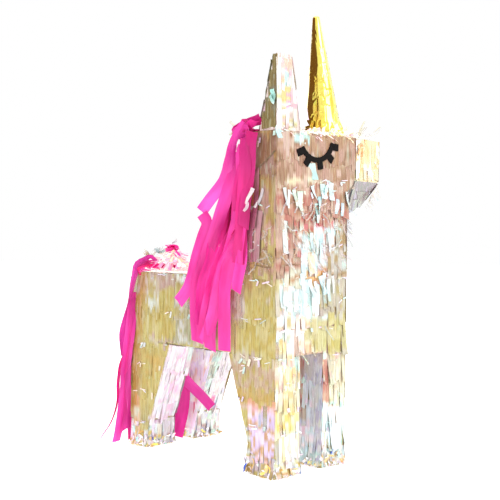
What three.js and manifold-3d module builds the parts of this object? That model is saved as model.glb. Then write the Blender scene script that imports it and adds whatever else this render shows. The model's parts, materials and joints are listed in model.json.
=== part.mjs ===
// A standing unicorn pinata: a folded card shell on four tapered legs, covered in fringed iridescent film,
// with a gold foil horn, pink streamers for mane and tail, and a fill flap on the back.
// Millimetres, +Z up. +X is the way the turned head looks, -Y is the front of the body.
import * as THREE from "three";
import { ConvexGeometry } from "three/addons/geometries/ConvexGeometry.js";
import { mergeVertices } from "three/addons/utils/BufferGeometryUtils.js";
import Module from "manifold-3d";

const wasm = await Module();
wasm.setup();

// ---- driving dimensions -------------------------------------------------------------------------------------
const BODY_WIDTH = 127; // across the animal, side film to side film
const BODY_LENGTH = 270; // chest film to rump film
const BELLY_Z = 145; // underside of the body, top of the legs
const BACK_Z = 238; // top of the back
const HEAD_TOP_Z = 415; // top of the head
const NAPE_LOW = 80; // depth of the neck where it meets the back
const NAPE_TOP = 60; // depth of the neck at the top of the head
const CARD = 3; // corrugated card
const FILM = 1.9; // fringed film, all its layers together
const GAP = 0.3; // glue gap
const IN = FILM + GAP; // outer face of the card, below the film's outer face
const IN2 = IN + CARD; // inner face of the card
const IN3 = IN2 + GAP; // first free space inside the card

const LEG_WIDTH = 42;
const FRONT_LEG_TOP = 77; // depth of a front leg at the belly
const FRONT_LEG_ANKLE = 42;
const REAR_LEG_TOP = 79;
const REAR_LEG_ANKLE = 38;
const ANKLE_Z = 38;
const FRONT_FOOT_FLARE = 5;
const REAR_FOOT_DRAW = 6;
const HOOF_PLATE = 4;

const DOOR_START = 118; // fill flap, along the back
const DOOR_END = 212;

const CREASE_X = 146; // where the cheek turns in to the muzzle
const MUZZLE_X = 209; // end of the muzzle

const HORN_BASE_RADIUS = 23.5;
const HORN_LENGTH = 151;
const HORN_LEAN_DEG = 6.6; // towards the back of the head
const HORN_AT = [121, 33];

// Corners of the whole object's box, so that the origin sits under its middle.
const BOX_LOW = [-30, -2.3];
const BOX_HIGH = [MUZZLE_X, 320];
const ORIGIN = [(BOX_LOW[0] + BOX_HIGH[0]) / 2, (BOX_LOW[1] + BOX_HIGH[1]) / 2];

// ---- materials ----------------------------------------------------------------------------------------------
const finish = (color, roughness, metalness) => () =>
  new THREE.MeshStandardMaterial({ color, roughness, metalness });
const card = finish(0xb08d5f, 0.9, 0);
const film = finish(0xe6dcc8, 0.25, 0.1);
const foil = finish(0xe0a92c, 0.22, 0.95);
const streamer = finish(0xe83fa6, 0.7, 0);
const sticker = finish(0x101010, 0.45, 0);

const pinata = new THREE.Group();
pinata.name = "pinata";
pinata.position.set(-ORIGIN[0], -ORIGIN[1], 0);

function add(name, geometry, material, parent = pinata) {
  const mesh = new THREE.Mesh(geometry, material());
  mesh.name = name;
  parent.add(mesh);
  return mesh;
}

// ---- shapes -------------------------------------------------------------------------------------------------
const outline = (points) =>
  new THREE.Shape(points.map(([a, b]) => new THREE.Vector2(a, b)));

// A flat outline in the Y-Z plane, as thick as from x0 to x1.
function slabX(points, x0, x1) {
  const g = new THREE.ExtrudeGeometry(outline(points), {
    depth: x1 - x0,
    bevelEnabled: false,
  });
  g.applyMatrix4(new THREE.Matrix4().set(0, 0, 1, x0, 1, 0, 0, 0, 0, 1, 0, 0, 0, 0, 0, 1));
  return g;
}

// A flat outline in the X-Z plane, as thick as from y0 to y1.
function slabY(points, y0, y1) {
  const g = new THREE.ExtrudeGeometry(outline(points), {
    depth: y1 - y0,
    bevelEnabled: false,
  });
  g.rotateX(Math.PI / 2);
  g.translate(0, y1, 0);
  return g;
}

// A plain rectangular panel between two corners.
function panel(x0, x1, y0, y1, z0, z1) {
  const g = new THREE.BoxGeometry(x1 - x0, y1 - y0, z1 - z0);
  g.translate((x0 + x1) / 2, (y0 + y1) / 2, (z0 + z1) / 2);
  return g;
}

const hull = (points) => new ConvexGeometry(points.map((p) => new THREE.Vector3(...p)));

function solid(geometry) {
  const g = geometry.clone();
  for (const name of Object.keys(g.attributes)) if (name !== "position") g.deleteAttribute(name);
  const m = mergeVertices(g, 1e-4);
  return new wasm.Manifold(
    new wasm.Mesh({
      numProp: 3,
      vertProperties: new Float32Array(m.attributes.position.array),
      triVerts: new Uint32Array(m.index.array),
    }),
  );
}

function geometryOf(manifold) {
  const mesh = manifold.getMesh();
  const g = new THREE.BufferGeometry();
  const n = mesh.numProp;
  const xyz = new Float32Array(mesh.numVert * 3);
  for (let i = 0; i < mesh.numVert; i++)
    xyz.set(mesh.vertProperties.subarray(i * n, i * n + 3), i * 3);
  g.setAttribute("position", new THREE.BufferAttribute(xyz, 3));
  g.setIndex(new THREE.BufferAttribute(new Uint32Array(mesh.triVerts), 1));
  g.computeVertexNormals();
  return g;
}

const cut = (a, ...bs) => geometryOf(bs.reduce((s, b) => s.subtract(solid(b)), solid(a)));

// The planes of a convex set of points: [normal, offset].
function planesOf(points) {
  const g = hull(points);
  const p = g.attributes.position;
  const seen = [];
  for (let i = 0; i < p.count; i += 3) {
    const [a, b, c] = [0, 1, 2].map((k) => new THREE.Vector3().fromBufferAttribute(p, i + k));
    const n = b.clone().sub(a).cross(c.clone().sub(a));
    if (n.length() < 1e-6) continue;
    n.normalize();
    const d = n.dot(a);
    if (!seen.some(([m, e]) => m.dot(n) > 0.99999 && Math.abs(e - d) < 0.02)) seen.push([n, d]);
  }
  return seen;
}

// A convex body drawn in by a distance on every face except those that face the open side.
function drawnIn(points, distance, open = null, reach = 0) {
  const far = open
    ? points.concat(points.map((p) => p.map((v, k) => v + open[k] * reach)))
    : points;
  let body = solid(hull(far));
  for (const [n, d] of planesOf(points)) {
    if (open && n.dot(new THREE.Vector3(...open)) > 0.95) continue;
    body = body.trimByPlane([-n.x, -n.y, -n.z], -(d - distance));
  }
  return body;
}

// A folded shell of a convex form: from one depth below its faces to another, open on one side.
function folded(points, outer, inner, open) {
  const whole = outer > 0 ? drawnIn(points, outer, open, 0) : solid(hull(points));
  return geometryOf(whole.subtract(drawnIn(points, inner, open, 8)));
}

// ---- body ---------------------------------------------------------------------------------------------------
const W = BODY_WIDTH;
const L = BODY_LENGTH;
const bodyCardX = [IN, W - IN];
const insideX = [IN3, W - IN3];
const cardLow = BELLY_Z + IN;
const cardHigh = BACK_Z - IN;
const neckFoot = cardHigh + GAP;

add("flank_right", panel(IN, IN2, IN3, L - IN3, cardLow, cardHigh), card);
add("flank_left", panel(W - IN2, W - IN, IN3, L - IN3, cardLow, cardHigh), card);
add("chest_panel", panel(...bodyCardX, IN, IN2, cardLow, cardHigh), card);
add("rump_panel", panel(...bodyCardX, L - IN2, L - IN, cardLow, cardHigh), card);
add("belly_panel", panel(...insideX, IN3, L - IN3, cardLow, cardLow + CARD), card);
add("back_panel_front", panel(...insideX, NAPE_LOW - 8, DOOR_START - GAP, cardHigh - CARD, cardHigh), card);
add("back_panel_rear", panel(...insideX, DOOR_END + GAP, L - IN3, cardHigh - CARD, cardHigh), card);
add("neck_bulkhead", panel(...insideX, NAPE_LOW + 2, NAPE_LOW + 5, cardLow + CARD + GAP, cardHigh - CARD - GAP), card);

// The fill flap turns up about its left edge.
const HINGE_AT = [W - IN + GAP / 2, BACK_Z];
add("fill_door", panel(...insideX, DOOR_START, DOOR_END, cardHigh - CARD, cardHigh), card);
add("film_door", panel(IN, W - IN, DOOR_START, DOOR_END, BACK_Z - FILM, BACK_Z), film);

// ---- neck and head ------------------------------------------------------------------------------------------
// The nape leans forward as it rises.
const nape = (z, d) => NAPE_LOW + ((NAPE_TOP - NAPE_LOW) * (z - BACK_Z)) / (HEAD_TOP_Z - BACK_Z) - d * 1.0064;
const headCardTop = HEAD_TOP_Z - IN;
const neckSide = [
  [IN3, neckFoot],
  [nape(neckFoot, IN3), neckFoot],
  [nape(headCardTop, IN3), headCardTop],
  [IN3, headCardTop],
];
add("neck_front_panel", panel(...bodyCardX, IN, IN2, neckFoot, headCardTop), card);
add("neck_side_right", slabX(neckSide, IN, IN2), card);
add("neck_side_left", slabX(neckSide, W - IN2, W - IN), card);
add(
  "nape_panel",
  slabX(
    [
      [nape(neckFoot, IN2), neckFoot],
      [nape(neckFoot, IN), neckFoot],
      [nape(headCardTop, IN), headCardTop],
      [nape(headCardTop, IN2), headCardTop],
    ],
    ...bodyCardX,
  ),
  card,
);
add("crown_panel", panel(...insideX, IN3, nape(headCardTop, IN3), headCardTop - CARD, headCardTop), card);

// The muzzle: a folded box that runs on from the cheeks, tapers to its end and is chamfered under the jaw.
const MUZZLE_ROOT = W + GAP;
const muzzleForm = [
  [MUZZLE_ROOT, 0, HEAD_TOP_Z], [MUZZLE_ROOT, NAPE_TOP, HEAD_TOP_Z],
  [CREASE_X, 0, HEAD_TOP_Z], [CREASE_X, NAPE_TOP, HEAD_TOP_Z],
  [MUZZLE_X, 14, HEAD_TOP_Z], [MUZZLE_X, NAPE_TOP - 14, HEAD_TOP_Z],
  [MUZZLE_X, 14, 360], [MUZZLE_X, NAPE_TOP - 14, 360],
  [CREASE_X, 0, 362], [CREASE_X, NAPE_TOP, 362],
  [MUZZLE_ROOT, 0, 349], [MUZZLE_ROOT, NAPE_TOP, 349],
  [172, 17, 327], [172, NAPE_TOP - 17, 327],
  [MUZZLE_ROOT, 9, 316], [MUZZLE_ROOT, NAPE_TOP - 9, 316],
];
add("muzzle_shell", folded(muzzleForm, IN, IN2, [-1, 0, 0]), card);
add("film_muzzle", folded(muzzleForm, 0, FILM, [-1, 0, 0]), film);

// ---- ears ---------------------------------------------------------------------------------------------------
const earForm = (x, y) => [
  [x, y, HEAD_TOP_Z + GAP], [x + 40, y, HEAD_TOP_Z + GAP],
  [x, y + 29, HEAD_TOP_Z + GAP], [x + 40, y + 29, HEAD_TOP_Z + GAP],
  [x - 2, y, 505], [x + 23, y, 505],
  [x - 2, y + 5, 503], [x + 23, y + 5, 503],
];
for (const [name, x, y] of [["near", 0, 0], ["far", 28, 29.5]]) {
  const form = earForm(x, y);
  add("ear_" + name, folded(form, IN, IN2, [0, 0, -1]), card);
  add("film_ear_" + name, folded(form, 0, FILM, [0, 0, -1]), film);
}

// ---- horn ---------------------------------------------------------------------------------------------------
const horn = new THREE.Group();
horn.position.set(HORN_AT[0], HORN_AT[1], HEAD_TOP_Z + GAP);
horn.rotation.y = (-HORN_LEAN_DEG * Math.PI) / 180;
pinata.add(horn);
const SEAT = 3; // the lean lifts one side of the base, so the horn starts this far up its own axis
const coneRadius = (z) => HORN_BASE_RADIUS - ((HORN_BASE_RADIUS - 4) * z) / HORN_LENGTH;
const lathe = (points, sides = 24) => {
  const g = new THREE.LatheGeometry(points.map(([r, z]) => new THREE.Vector2(r, z)), sides);
  g.rotateX(Math.PI / 2);
  return g;
};
add(
  "horn_core",
  lathe([
    [0, SEAT + 1], [coneRadius(SEAT) - 3, SEAT + 1], [coneRadius(HORN_LENGTH) - 2.2, HORN_LENGTH - 3], [0, HORN_LENGTH - 3],
  ]),
  card,
  horn,
);
add(
  "horn_foil",
  lathe([
    [coneRadius(SEAT) - 2.4, SEAT], [coneRadius(SEAT), SEAT], [coneRadius(60) + 0.8, 60], [coneRadius(HORN_LENGTH), HORN_LENGTH - 1.5],
    [coneRadius(HORN_LENGTH) - 2, HORN_LENGTH], [0, HORN_LENGTH], [0, HORN_LENGTH - 2.4],
    [coneRadius(HORN_LENGTH) - 1.6, HORN_LENGTH - 2.4], [coneRadius(SEAT) - 2.4, SEAT],
  ]),
  foil,
  horn,
);
add(
  "horn_collar",
  lathe([
    [coneRadius(SEAT) + 0.4, SEAT + 0.2], [coneRadius(SEAT) + 5.5, SEAT + 0.2], [coneRadius(14) + 3.4, 10],
    [coneRadius(22) + 1.4, 22], [coneRadius(22) + 0.9, 22], [coneRadius(SEAT) + 0.4, SEAT + 0.2],
  ]),
  foil,
  horn,
);

// ---- closed eyes: a lid line with five lashes, cut from thin black foam, on both cheeks -------------------------
const EYE_AT = [68.6, 414]; // centre of the lid's arc
const LID_RADIUS = 31.2;
const LID_HALF_ANGLE = 65;
const LID_THICK = 6.4;
const LASH_WIDE = 8.8;
const LASH_REACH = 11.8; // from the middle of the lid line to a lash's end
const LASHES = [[-57, -78], [-33, -43], [2, 4], [33, 45], [57, 79]]; // [place on the lid, pointing], degrees
const EYE_TILT = 8;
const EYE_THICK = 2;
const EYE_FRONT = -(GAP + EYE_THICK);
const rad = (degrees) => (degrees * Math.PI) / 180;
function eyeSolid(y0, y1, z0) {
  const round = (angle, r) => [EYE_AT[0] + r * Math.sin(angle), EYE_AT[1] - z0 - r * Math.cos(angle)];
  const tilt = rad(EYE_TILT);
  const band = [];
  const n = 28;
  const half = rad(LID_HALF_ANGLE);
  for (let i = 0; i <= n; i++) band.push(round(tilt - half + (2 * half * i) / n, LID_RADIUS + LID_THICK / 2));
  for (let i = n; i >= 0; i--) band.push(round(tilt - half + (2 * half * i) / n, LID_RADIUS - LID_THICK / 2));
  let eye = solid(slabY(band, y0, y1));
  for (const [place, way] of LASHES) {
    const [cx, cz] = round(tilt + rad(place), LID_RADIUS);
    const d = [Math.sin(tilt + rad(way)), -Math.cos(tilt + rad(way))];
    const s = [-d[1], d[0]];
    const lash = [[-1, 0], [-1, 1], [1, 1], [1, 0]].map(([u, v]) => [
      cx + (s[0] * u * LASH_WIDE) / 2 + d[0] * v * LASH_REACH,
      cz + (s[1] * u * LASH_WIDE) / 2 + d[1] * v * LASH_REACH,
    ]);
    eye = eye.add(solid(slabY(lash, y0, y1)));
  }
  return geometryOf(eye);
}
add("eye_front", eyeSolid(EYE_FRONT, -GAP, 0), sticker);
// The rear cheek leans with the nape, so its eye is carried on a turned group.
const rearEye = new THREE.Group();
const lean = Math.atan2(NAPE_LOW - NAPE_TOP, HEAD_TOP_Z - BACK_Z);
rearEye.position.set(0, NAPE_TOP, HEAD_TOP_Z);
rearEye.rotation.x = lean;
pinata.add(rearEye);
add("eye_rear", eyeSolid(GAP, GAP + EYE_THICK, HEAD_TOP_Z), sticker, rearEye);

// ---- legs ---------------------------------------------------------------------------------------------------
// Each leg tapers to its ankle; the card tube is open at both ends and closed below by the hoof plate.
const ankleToBelly = (z) => (z - ANKLE_Z) / (BELLY_Z - ANKLE_Z);
const frontEdge = (z) =>
  z > ANKLE_Z
    ? FRONT_LEG_ANKLE + (FRONT_LEG_TOP - FRONT_LEG_ANKLE) * ankleToBelly(z)
    : FRONT_LEG_ANKLE + FRONT_FOOT_FLARE * (1 - z / ANKLE_Z);
const rearEdge = (z) =>
  z > ANKLE_Z
    ? L - REAR_LEG_ANKLE - (REAR_LEG_TOP - REAR_LEG_ANKLE) * ankleToBelly(z)
    : L - REAR_LEG_ANKLE + REAR_FOOT_DRAW * (1 - z / ANKLE_Z);
const SLANT = 1.08; // a depth square to the slanted edge, measured along Y
const legFront = (d, low, high) => [
  [d, low], [frontEdge(low) - SLANT * d, low], [FRONT_LEG_ANKLE - SLANT * d, ANKLE_Z], [frontEdge(high) - SLANT * d, high], [d, high],
];
const legRear = (d, low, high) => [
  [rearEdge(low) + SLANT * d, low], [L - d, low], [L - d, high], [rearEdge(high) + SLANT * d, high], [L - REAR_LEG_ANKLE + SLANT * d, ANKLE_Z],
];
const legTop = BELLY_Z - GAP;
for (const [where, form, plate] of [
  ["front", legFront, [IN, FRONT_LEG_ANKLE + FRONT_FOOT_FLARE - 3.2]],
  ["rear", legRear, [L - REAR_LEG_ANKLE + REAR_FOOT_DRAW + 2.6, L - IN]],
])
  for (const [side, x] of [["right", 0], ["left", W - LEG_WIDTH]]) {
    add(
      "leg_" + where + "_" + side,
      cut(
        slabX(form(IN, HOOF_PLATE + GAP, legTop), x + IN, x + LEG_WIDTH - IN),
        slabX(form(IN2, -10, legTop + 10), x + IN2, x + LEG_WIDTH - IN2),
      ),
      card,
    );
    add("hoof_plate_" + where + "_" + side, panel(x + IN, x + LEG_WIDTH - IN, ...plate, 0, HOOF_PLATE), card);
    add(
      "film_leg_" + where + "_" + side,
      cut(
        slabX(form(0, 1.2, legTop), x, x + LEG_WIDTH),
        slabX(form(FILM, -10, legTop + 10), x + FILM, x + LEG_WIDTH - FILM),
      ),
      film,
    );
  }

// ---- film covering --------------------------------------------------------------------------------------------
const sideFilm = [
  [IN, BELLY_Z], [L - IN, BELLY_Z], [L - IN, BACK_Z], [NAPE_LOW, BACK_Z], [nape(HEAD_TOP_Z, 0), HEAD_TOP_Z], [IN, HEAD_TOP_Z],
];
add("film_side_right", slabX(sideFilm, 0, FILM), film);
const leftTop = 314; // the muzzle covers the left side of the neck above this
add(
  "film_side_left",
  slabX([[IN, BELLY_Z], [L - IN, BELLY_Z], [L - IN, BACK_Z], [NAPE_LOW, BACK_Z], [nape(leftTop, 0), leftTop], [IN, leftTop]], W - FILM, W),
  film,
);
add("film_front", panel(0, W, 0, FILM, BELLY_Z, HEAD_TOP_Z), film);
add("film_rump", panel(0, W, L - FILM, L, BELLY_Z, BACK_Z), film);
add("film_belly", panel(IN, W - IN, IN, L - IN, BELLY_Z, BELLY_Z + FILM), film);
add("film_back_front", panel(IN, W - IN, NAPE_LOW + GAP, DOOR_START - GAP, BACK_Z - FILM, BACK_Z), film);
add("film_back_rear", panel(IN, W - IN, DOOR_END + GAP, L - IN, BACK_Z - FILM, BACK_Z), film);
add(
  "film_nape",
  slabX(
    [
      [nape(BACK_Z + GAP, FILM), BACK_Z + GAP], [nape(BACK_Z + GAP, 0), BACK_Z + GAP],
      [nape(HEAD_TOP_Z, 0), HEAD_TOP_Z], [nape(HEAD_TOP_Z, FILM), HEAD_TOP_Z],
    ],
    IN,
    W - IN,
  ),
  film,
);
add("film_crown", panel(IN, W, IN, nape(HEAD_TOP_Z, IN) - GAP, HEAD_TOP_Z - FILM, HEAD_TOP_Z), film);

// ---- mane and tail ----------------------------------------------------------------------------------------------
// The mane hangs from the nape over the right side of the neck and body.
add(
  "mane_streamers_side",
  slabX(
    [
      [96, 147], [143, 150], [141, 325], [96, 385], [72, 424], [34, 424], [40, 369], [53, 297], [61, 257], [74, 205],
    ],
    -15,
    -GAP,
  ),
  streamer,
);
// Behind the nape it is a loose bundle, narrow at the top.
add(
  "mane_streamers_nape",
  slabX(
    [
      [nape(246, 0) + 0.6, 246], [104, 246], [98, 330], [82, 405], [70, 424], [nape(HEAD_TOP_Z, 0) + 0.6, 424],
    ],
    GAP,
    25,
  ),
  streamer,
);
add("mane_knot", panel(1, 24, 31, 58, HEAD_TOP_Z + GAP, HEAD_TOP_Z + 12), streamer);

// The tail is gathered on the rump, turns over its rear edge and hangs to the ground.
add("tail_rosette", hull([
  [38, 236, BACK_Z + GAP], [78, 236, BACK_Z + GAP], [38, L - 1, BACK_Z + GAP], [78, L - 1, BACK_Z + GAP],
  [48, 246, 272], [72, 246, 272], [48, L - 4, 272], [72, L - 4, 272],
]), streamer);
add("tail_streamers_rump", slabX([[L + 0.6, 4], [L + 13, 4], [L + 13, 238], [L + 8, 250], [L + 0.6, 250]], 2, 88), streamer);
add(
  "tail_streamers_corner",
  hull([
    [-6, L + 0.6, 250], [1.4, L + 0.6, 250], [-6, L + 13, 246], [1.4, L + 13, 246],
    [-16, L + 0.6, 130], [1.4, L + 0.6, 130], [-16, L + 22, 130], [1.4, L + 22, 130],
    [-30, L + 12, 1.2], [1.4, L + 6, 1.2], [-30, 320, 1.2], [-8, 320, 1.2],
  ]),
  streamer,
);
add("tail_film_tuft", hull([
  [3, 214, BACK_Z + GAP], [36, 214, BACK_Z + GAP], [3, L - 4, BACK_Z + GAP], [36, L - 4, BACK_Z + GAP],
  [8, 222, 264], [32, 222, 264], [8, L - 12, 264], [32, L - 12, 264],
]), film);

export default pinata;
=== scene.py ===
import json
import math
import random

import bpy
import numpy as np
from mathutils import Matrix, Vector, noise

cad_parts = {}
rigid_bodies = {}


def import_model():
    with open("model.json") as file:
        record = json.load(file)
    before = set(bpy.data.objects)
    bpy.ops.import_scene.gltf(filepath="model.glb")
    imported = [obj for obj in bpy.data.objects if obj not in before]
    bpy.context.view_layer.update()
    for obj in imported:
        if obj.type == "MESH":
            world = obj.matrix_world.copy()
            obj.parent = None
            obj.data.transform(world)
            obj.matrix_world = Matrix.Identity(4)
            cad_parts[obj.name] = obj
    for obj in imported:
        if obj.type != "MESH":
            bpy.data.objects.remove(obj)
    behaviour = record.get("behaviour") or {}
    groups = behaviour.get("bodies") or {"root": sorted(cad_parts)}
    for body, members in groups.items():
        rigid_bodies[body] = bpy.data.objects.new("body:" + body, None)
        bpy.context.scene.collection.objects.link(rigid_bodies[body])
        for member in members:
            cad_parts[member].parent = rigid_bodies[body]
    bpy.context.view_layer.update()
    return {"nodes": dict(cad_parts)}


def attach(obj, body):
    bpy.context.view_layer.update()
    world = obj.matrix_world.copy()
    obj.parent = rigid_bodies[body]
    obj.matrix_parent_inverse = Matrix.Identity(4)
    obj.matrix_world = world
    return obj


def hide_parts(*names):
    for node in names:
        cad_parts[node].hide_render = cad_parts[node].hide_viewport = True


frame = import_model()
scene = bpy.context.scene
NODES = frame["nodes"]

# The part's design coordinates: w across from the right side, l back from the chest, z up, in millimetres.
OW, OL = 89.5, 158.85
W, L, BELLY, BACK, TOP = 127.0, 270.0, 145.0, 238.0, 415.0


def P(w, l, z):
    return Vector(((w - OW) / 1000.0, (l - OL) / 1000.0, z / 1000.0))


def nape(z):
    return 80.0 - 20.0 * (z - BACK) / (TOP - BACK)


def lin(c):
    """A colour of 0-255 sRGB values as linear light."""
    out = []
    for v in c[:3]:
        v = v / 255.0
        out.append(v / 12.92 if v <= 0.04045 else ((v + 0.055) / 1.055) ** 2.4)
    return out


# ---------------------------------------------------------------------------------------------------- camera, light
AZ, D, U, HC = math.radians(44.86), 1170.77, 30.79, 301.43
PITCH, ROLL = math.radians(1.38), math.radians(0.54)
cam_data = bpy.data.cameras.new("camera")
cam = bpy.data.objects.new("camera", cam_data)
scene.collection.objects.link(cam)
scene.camera = cam
cam_data.sensor_width = 36.0
cam_data.lens = 994.03 / 500.0 * 36.0
cam_data.clip_start, cam_data.clip_end = 0.05, 20.0
cam.location = P(-U * math.cos(AZ) - D * math.sin(AZ), U * math.sin(AZ) - D * math.cos(AZ), HC)
fwd = Vector((math.sin(AZ) * math.cos(PITCH), math.cos(AZ) * math.cos(PITCH), -math.sin(PITCH)))
right0 = Vector((math.cos(AZ), -math.sin(AZ), 0.0))
up0 = right0.cross(fwd)
right = right0 * math.cos(ROLL) + up0 * math.sin(ROLL)
up = right.cross(fwd)
cam.rotation_mode = "QUATERNION"
cam.rotation_quaternion = Matrix((right, up, -fwd)).transposed().to_quaternion()

scene.view_settings.view_transform = "Standard"
scene.view_settings.look = "None"
scene.view_settings.exposure = 0.0

world = bpy.data.worlds.new("studio")
scene.world = world
world.use_nodes = True
nt = world.node_tree
nt.nodes.clear()
w_out = nt.nodes.new("ShaderNodeOutputWorld")
w_cam = nt.nodes.new("ShaderNodeBackground")
w_cam.inputs["Color"].default_value = (1, 1, 1, 1)
w_cam.inputs["Strength"].default_value = 1.0
w_env = nt.nodes.new("ShaderNodeBackground")
w_env.inputs["Strength"].default_value = 0.55
w_mix = nt.nodes.new("ShaderNodeMixShader")
w_lp = nt.nodes.new("ShaderNodeLightPath")
w_tc = nt.nodes.new("ShaderNodeTexCoord")
w_sep = nt.nodes.new("ShaderNodeSeparateXYZ")
w_ramp = nt.nodes.new("ShaderNodeValToRGB")
w_ramp.color_ramp.elements[0].position = 0.30
w_ramp.color_ramp.elements[0].color = (0.55, 0.53, 0.52, 1)
w_ramp.color_ramp.elements[1].position = 0.75
w_ramp.color_ramp.elements[1].color = (1, 1, 1, 1)
w_map = nt.nodes.new("ShaderNodeMath")
w_map.operation = "MULTIPLY_ADD"
w_map.inputs[1].default_value = 0.5
w_map.inputs[2].default_value = 0.5
nt.links.new(w_tc.outputs["Generated"], w_sep.inputs[0])
nt.links.new(w_sep.outputs["Z"], w_map.inputs[0])
nt.links.new(w_map.outputs[0], w_ramp.inputs["Fac"])


def world_band(direction, start, end, color, under):
    """A darker side of the studio, soft at its edges."""
    dot = nt.nodes.new("ShaderNodeVectorMath")
    dot.operation = "DOT_PRODUCT"
    dot.inputs[1].default_value = Vector(direction).normalized()
    nt.links.new(w_tc.outputs["Generated"], dot.inputs[0])
    mr = nt.nodes.new("ShaderNodeMapRange")
    mr.interpolation_type = "SMOOTHSTEP"
    mr.inputs["From Min"].default_value = start
    mr.inputs["From Max"].default_value = end
    nt.links.new(dot.outputs["Value"], mr.inputs["Value"])
    mx = nt.nodes.new("ShaderNodeMix")
    mx.data_type = "RGBA"
    mx.inputs[7].default_value = (*color, 1)
    nt.links.new(mr.outputs[0], mx.inputs[0])
    nt.links.new(under, mx.inputs[6])
    return mx.outputs[2]


band = world_band((-0.58, 0.812, 0.05), 0.20, 0.36, (0.14, 0.070, 0.045), w_ramp.outputs["Color"])
band = world_band((0.945, 0.320, 0.08), 0.885, 0.925, (0.16, 0.085, 0.05), band)
nt.links.new(w_ramp.outputs["Color"], w_env.inputs["Color"])
w_gloss = nt.nodes.new("ShaderNodeBackground")
w_gloss.inputs["Strength"].default_value = 1.2
nt.links.new(band, w_gloss.inputs["Color"])
w_mix0 = nt.nodes.new("ShaderNodeMixShader")
nt.links.new(w_lp.outputs["Is Glossy Ray"], w_mix0.inputs["Fac"])
nt.links.new(w_env.outputs[0], w_mix0.inputs[1])
nt.links.new(w_gloss.outputs[0], w_mix0.inputs[2])
nt.links.new(w_lp.outputs["Is Camera Ray"], w_mix.inputs["Fac"])
nt.links.new(w_mix0.outputs[0], w_mix.inputs[1])
nt.links.new(w_cam.outputs[0], w_mix.inputs[2])
nt.links.new(w_mix.outputs[0], w_out.inputs["Surface"])


def area(name, pos, aim, size, power, color=(1, 1, 1)):
    data = bpy.data.lights.new(name, "AREA")
    data.shape = "RECTANGLE"
    data.size, data.size_y = size
    data.energy = power
    data.color = color
    o = bpy.data.objects.new(name, data)
    scene.collection.objects.link(o)
    o.location = pos
    o.rotation_mode = "QUATERNION"
    o.rotation_quaternion = (Vector(aim) - Vector(pos)).to_track_quat("-Z", "Y")
    o.visible_camera = False
    return o


area("key", (0.25, -1.7, 1.25), (0, 0, 0.28), (1.3, 1.0), 22)
area("fill", (-1.8, -0.2, 0.7), (0, 0, 0.26), (1.4, 1.2), 13).visible_glossy = False
area("back", (1.3, 1.5, 1.2), (0, 0, 0.25), (1.6, 1.2), 15)
area("left", (1.8, -0.3, 0.8), (0, 0, 0.25), (1.2, 1.2), 9)
area("top", (0, 0, 2.2), (0, 0, 0.2), (1.8, 1.8), 26)


# ---------------------------------------------------------------------------------------------------- material kit
def new_mat(name):
    m = bpy.data.materials.new(name)
    m.use_nodes = True
    t = m.node_tree
    t.nodes.clear()
    out = t.nodes.new("ShaderNodeOutputMaterial")
    b = t.nodes.new("ShaderNodeBsdfPrincipled")
    t.links.new(b.outputs[0], out.inputs["Surface"])
    return m, t, b, out


def node(t, kind, **kw):
    n = t.nodes.new(kind)
    for k, v in kw.items():
        if k.startswith("i_"):
            n.inputs[k[2:].replace("_", " ")].default_value = v
        else:
            setattr(n, k, v)
    return n


def mix_rgb(t, fac, a, b, mode="MIX"):
    n = t.nodes.new("ShaderNodeMix")
    n.data_type = "RGBA"
    n.blend_type = mode
    n.clamp_result = False
    for sock, v in ((n.inputs[0], fac), (n.inputs[6], a), (n.inputs[7], b)):
        if hasattr(v, "is_output"):
            t.links.new(v, sock)
        elif isinstance(v, (tuple, list)):
            sock.default_value = (*v[:3], 1)
        else:
            sock.default_value = v
    return n.outputs[2]


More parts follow.
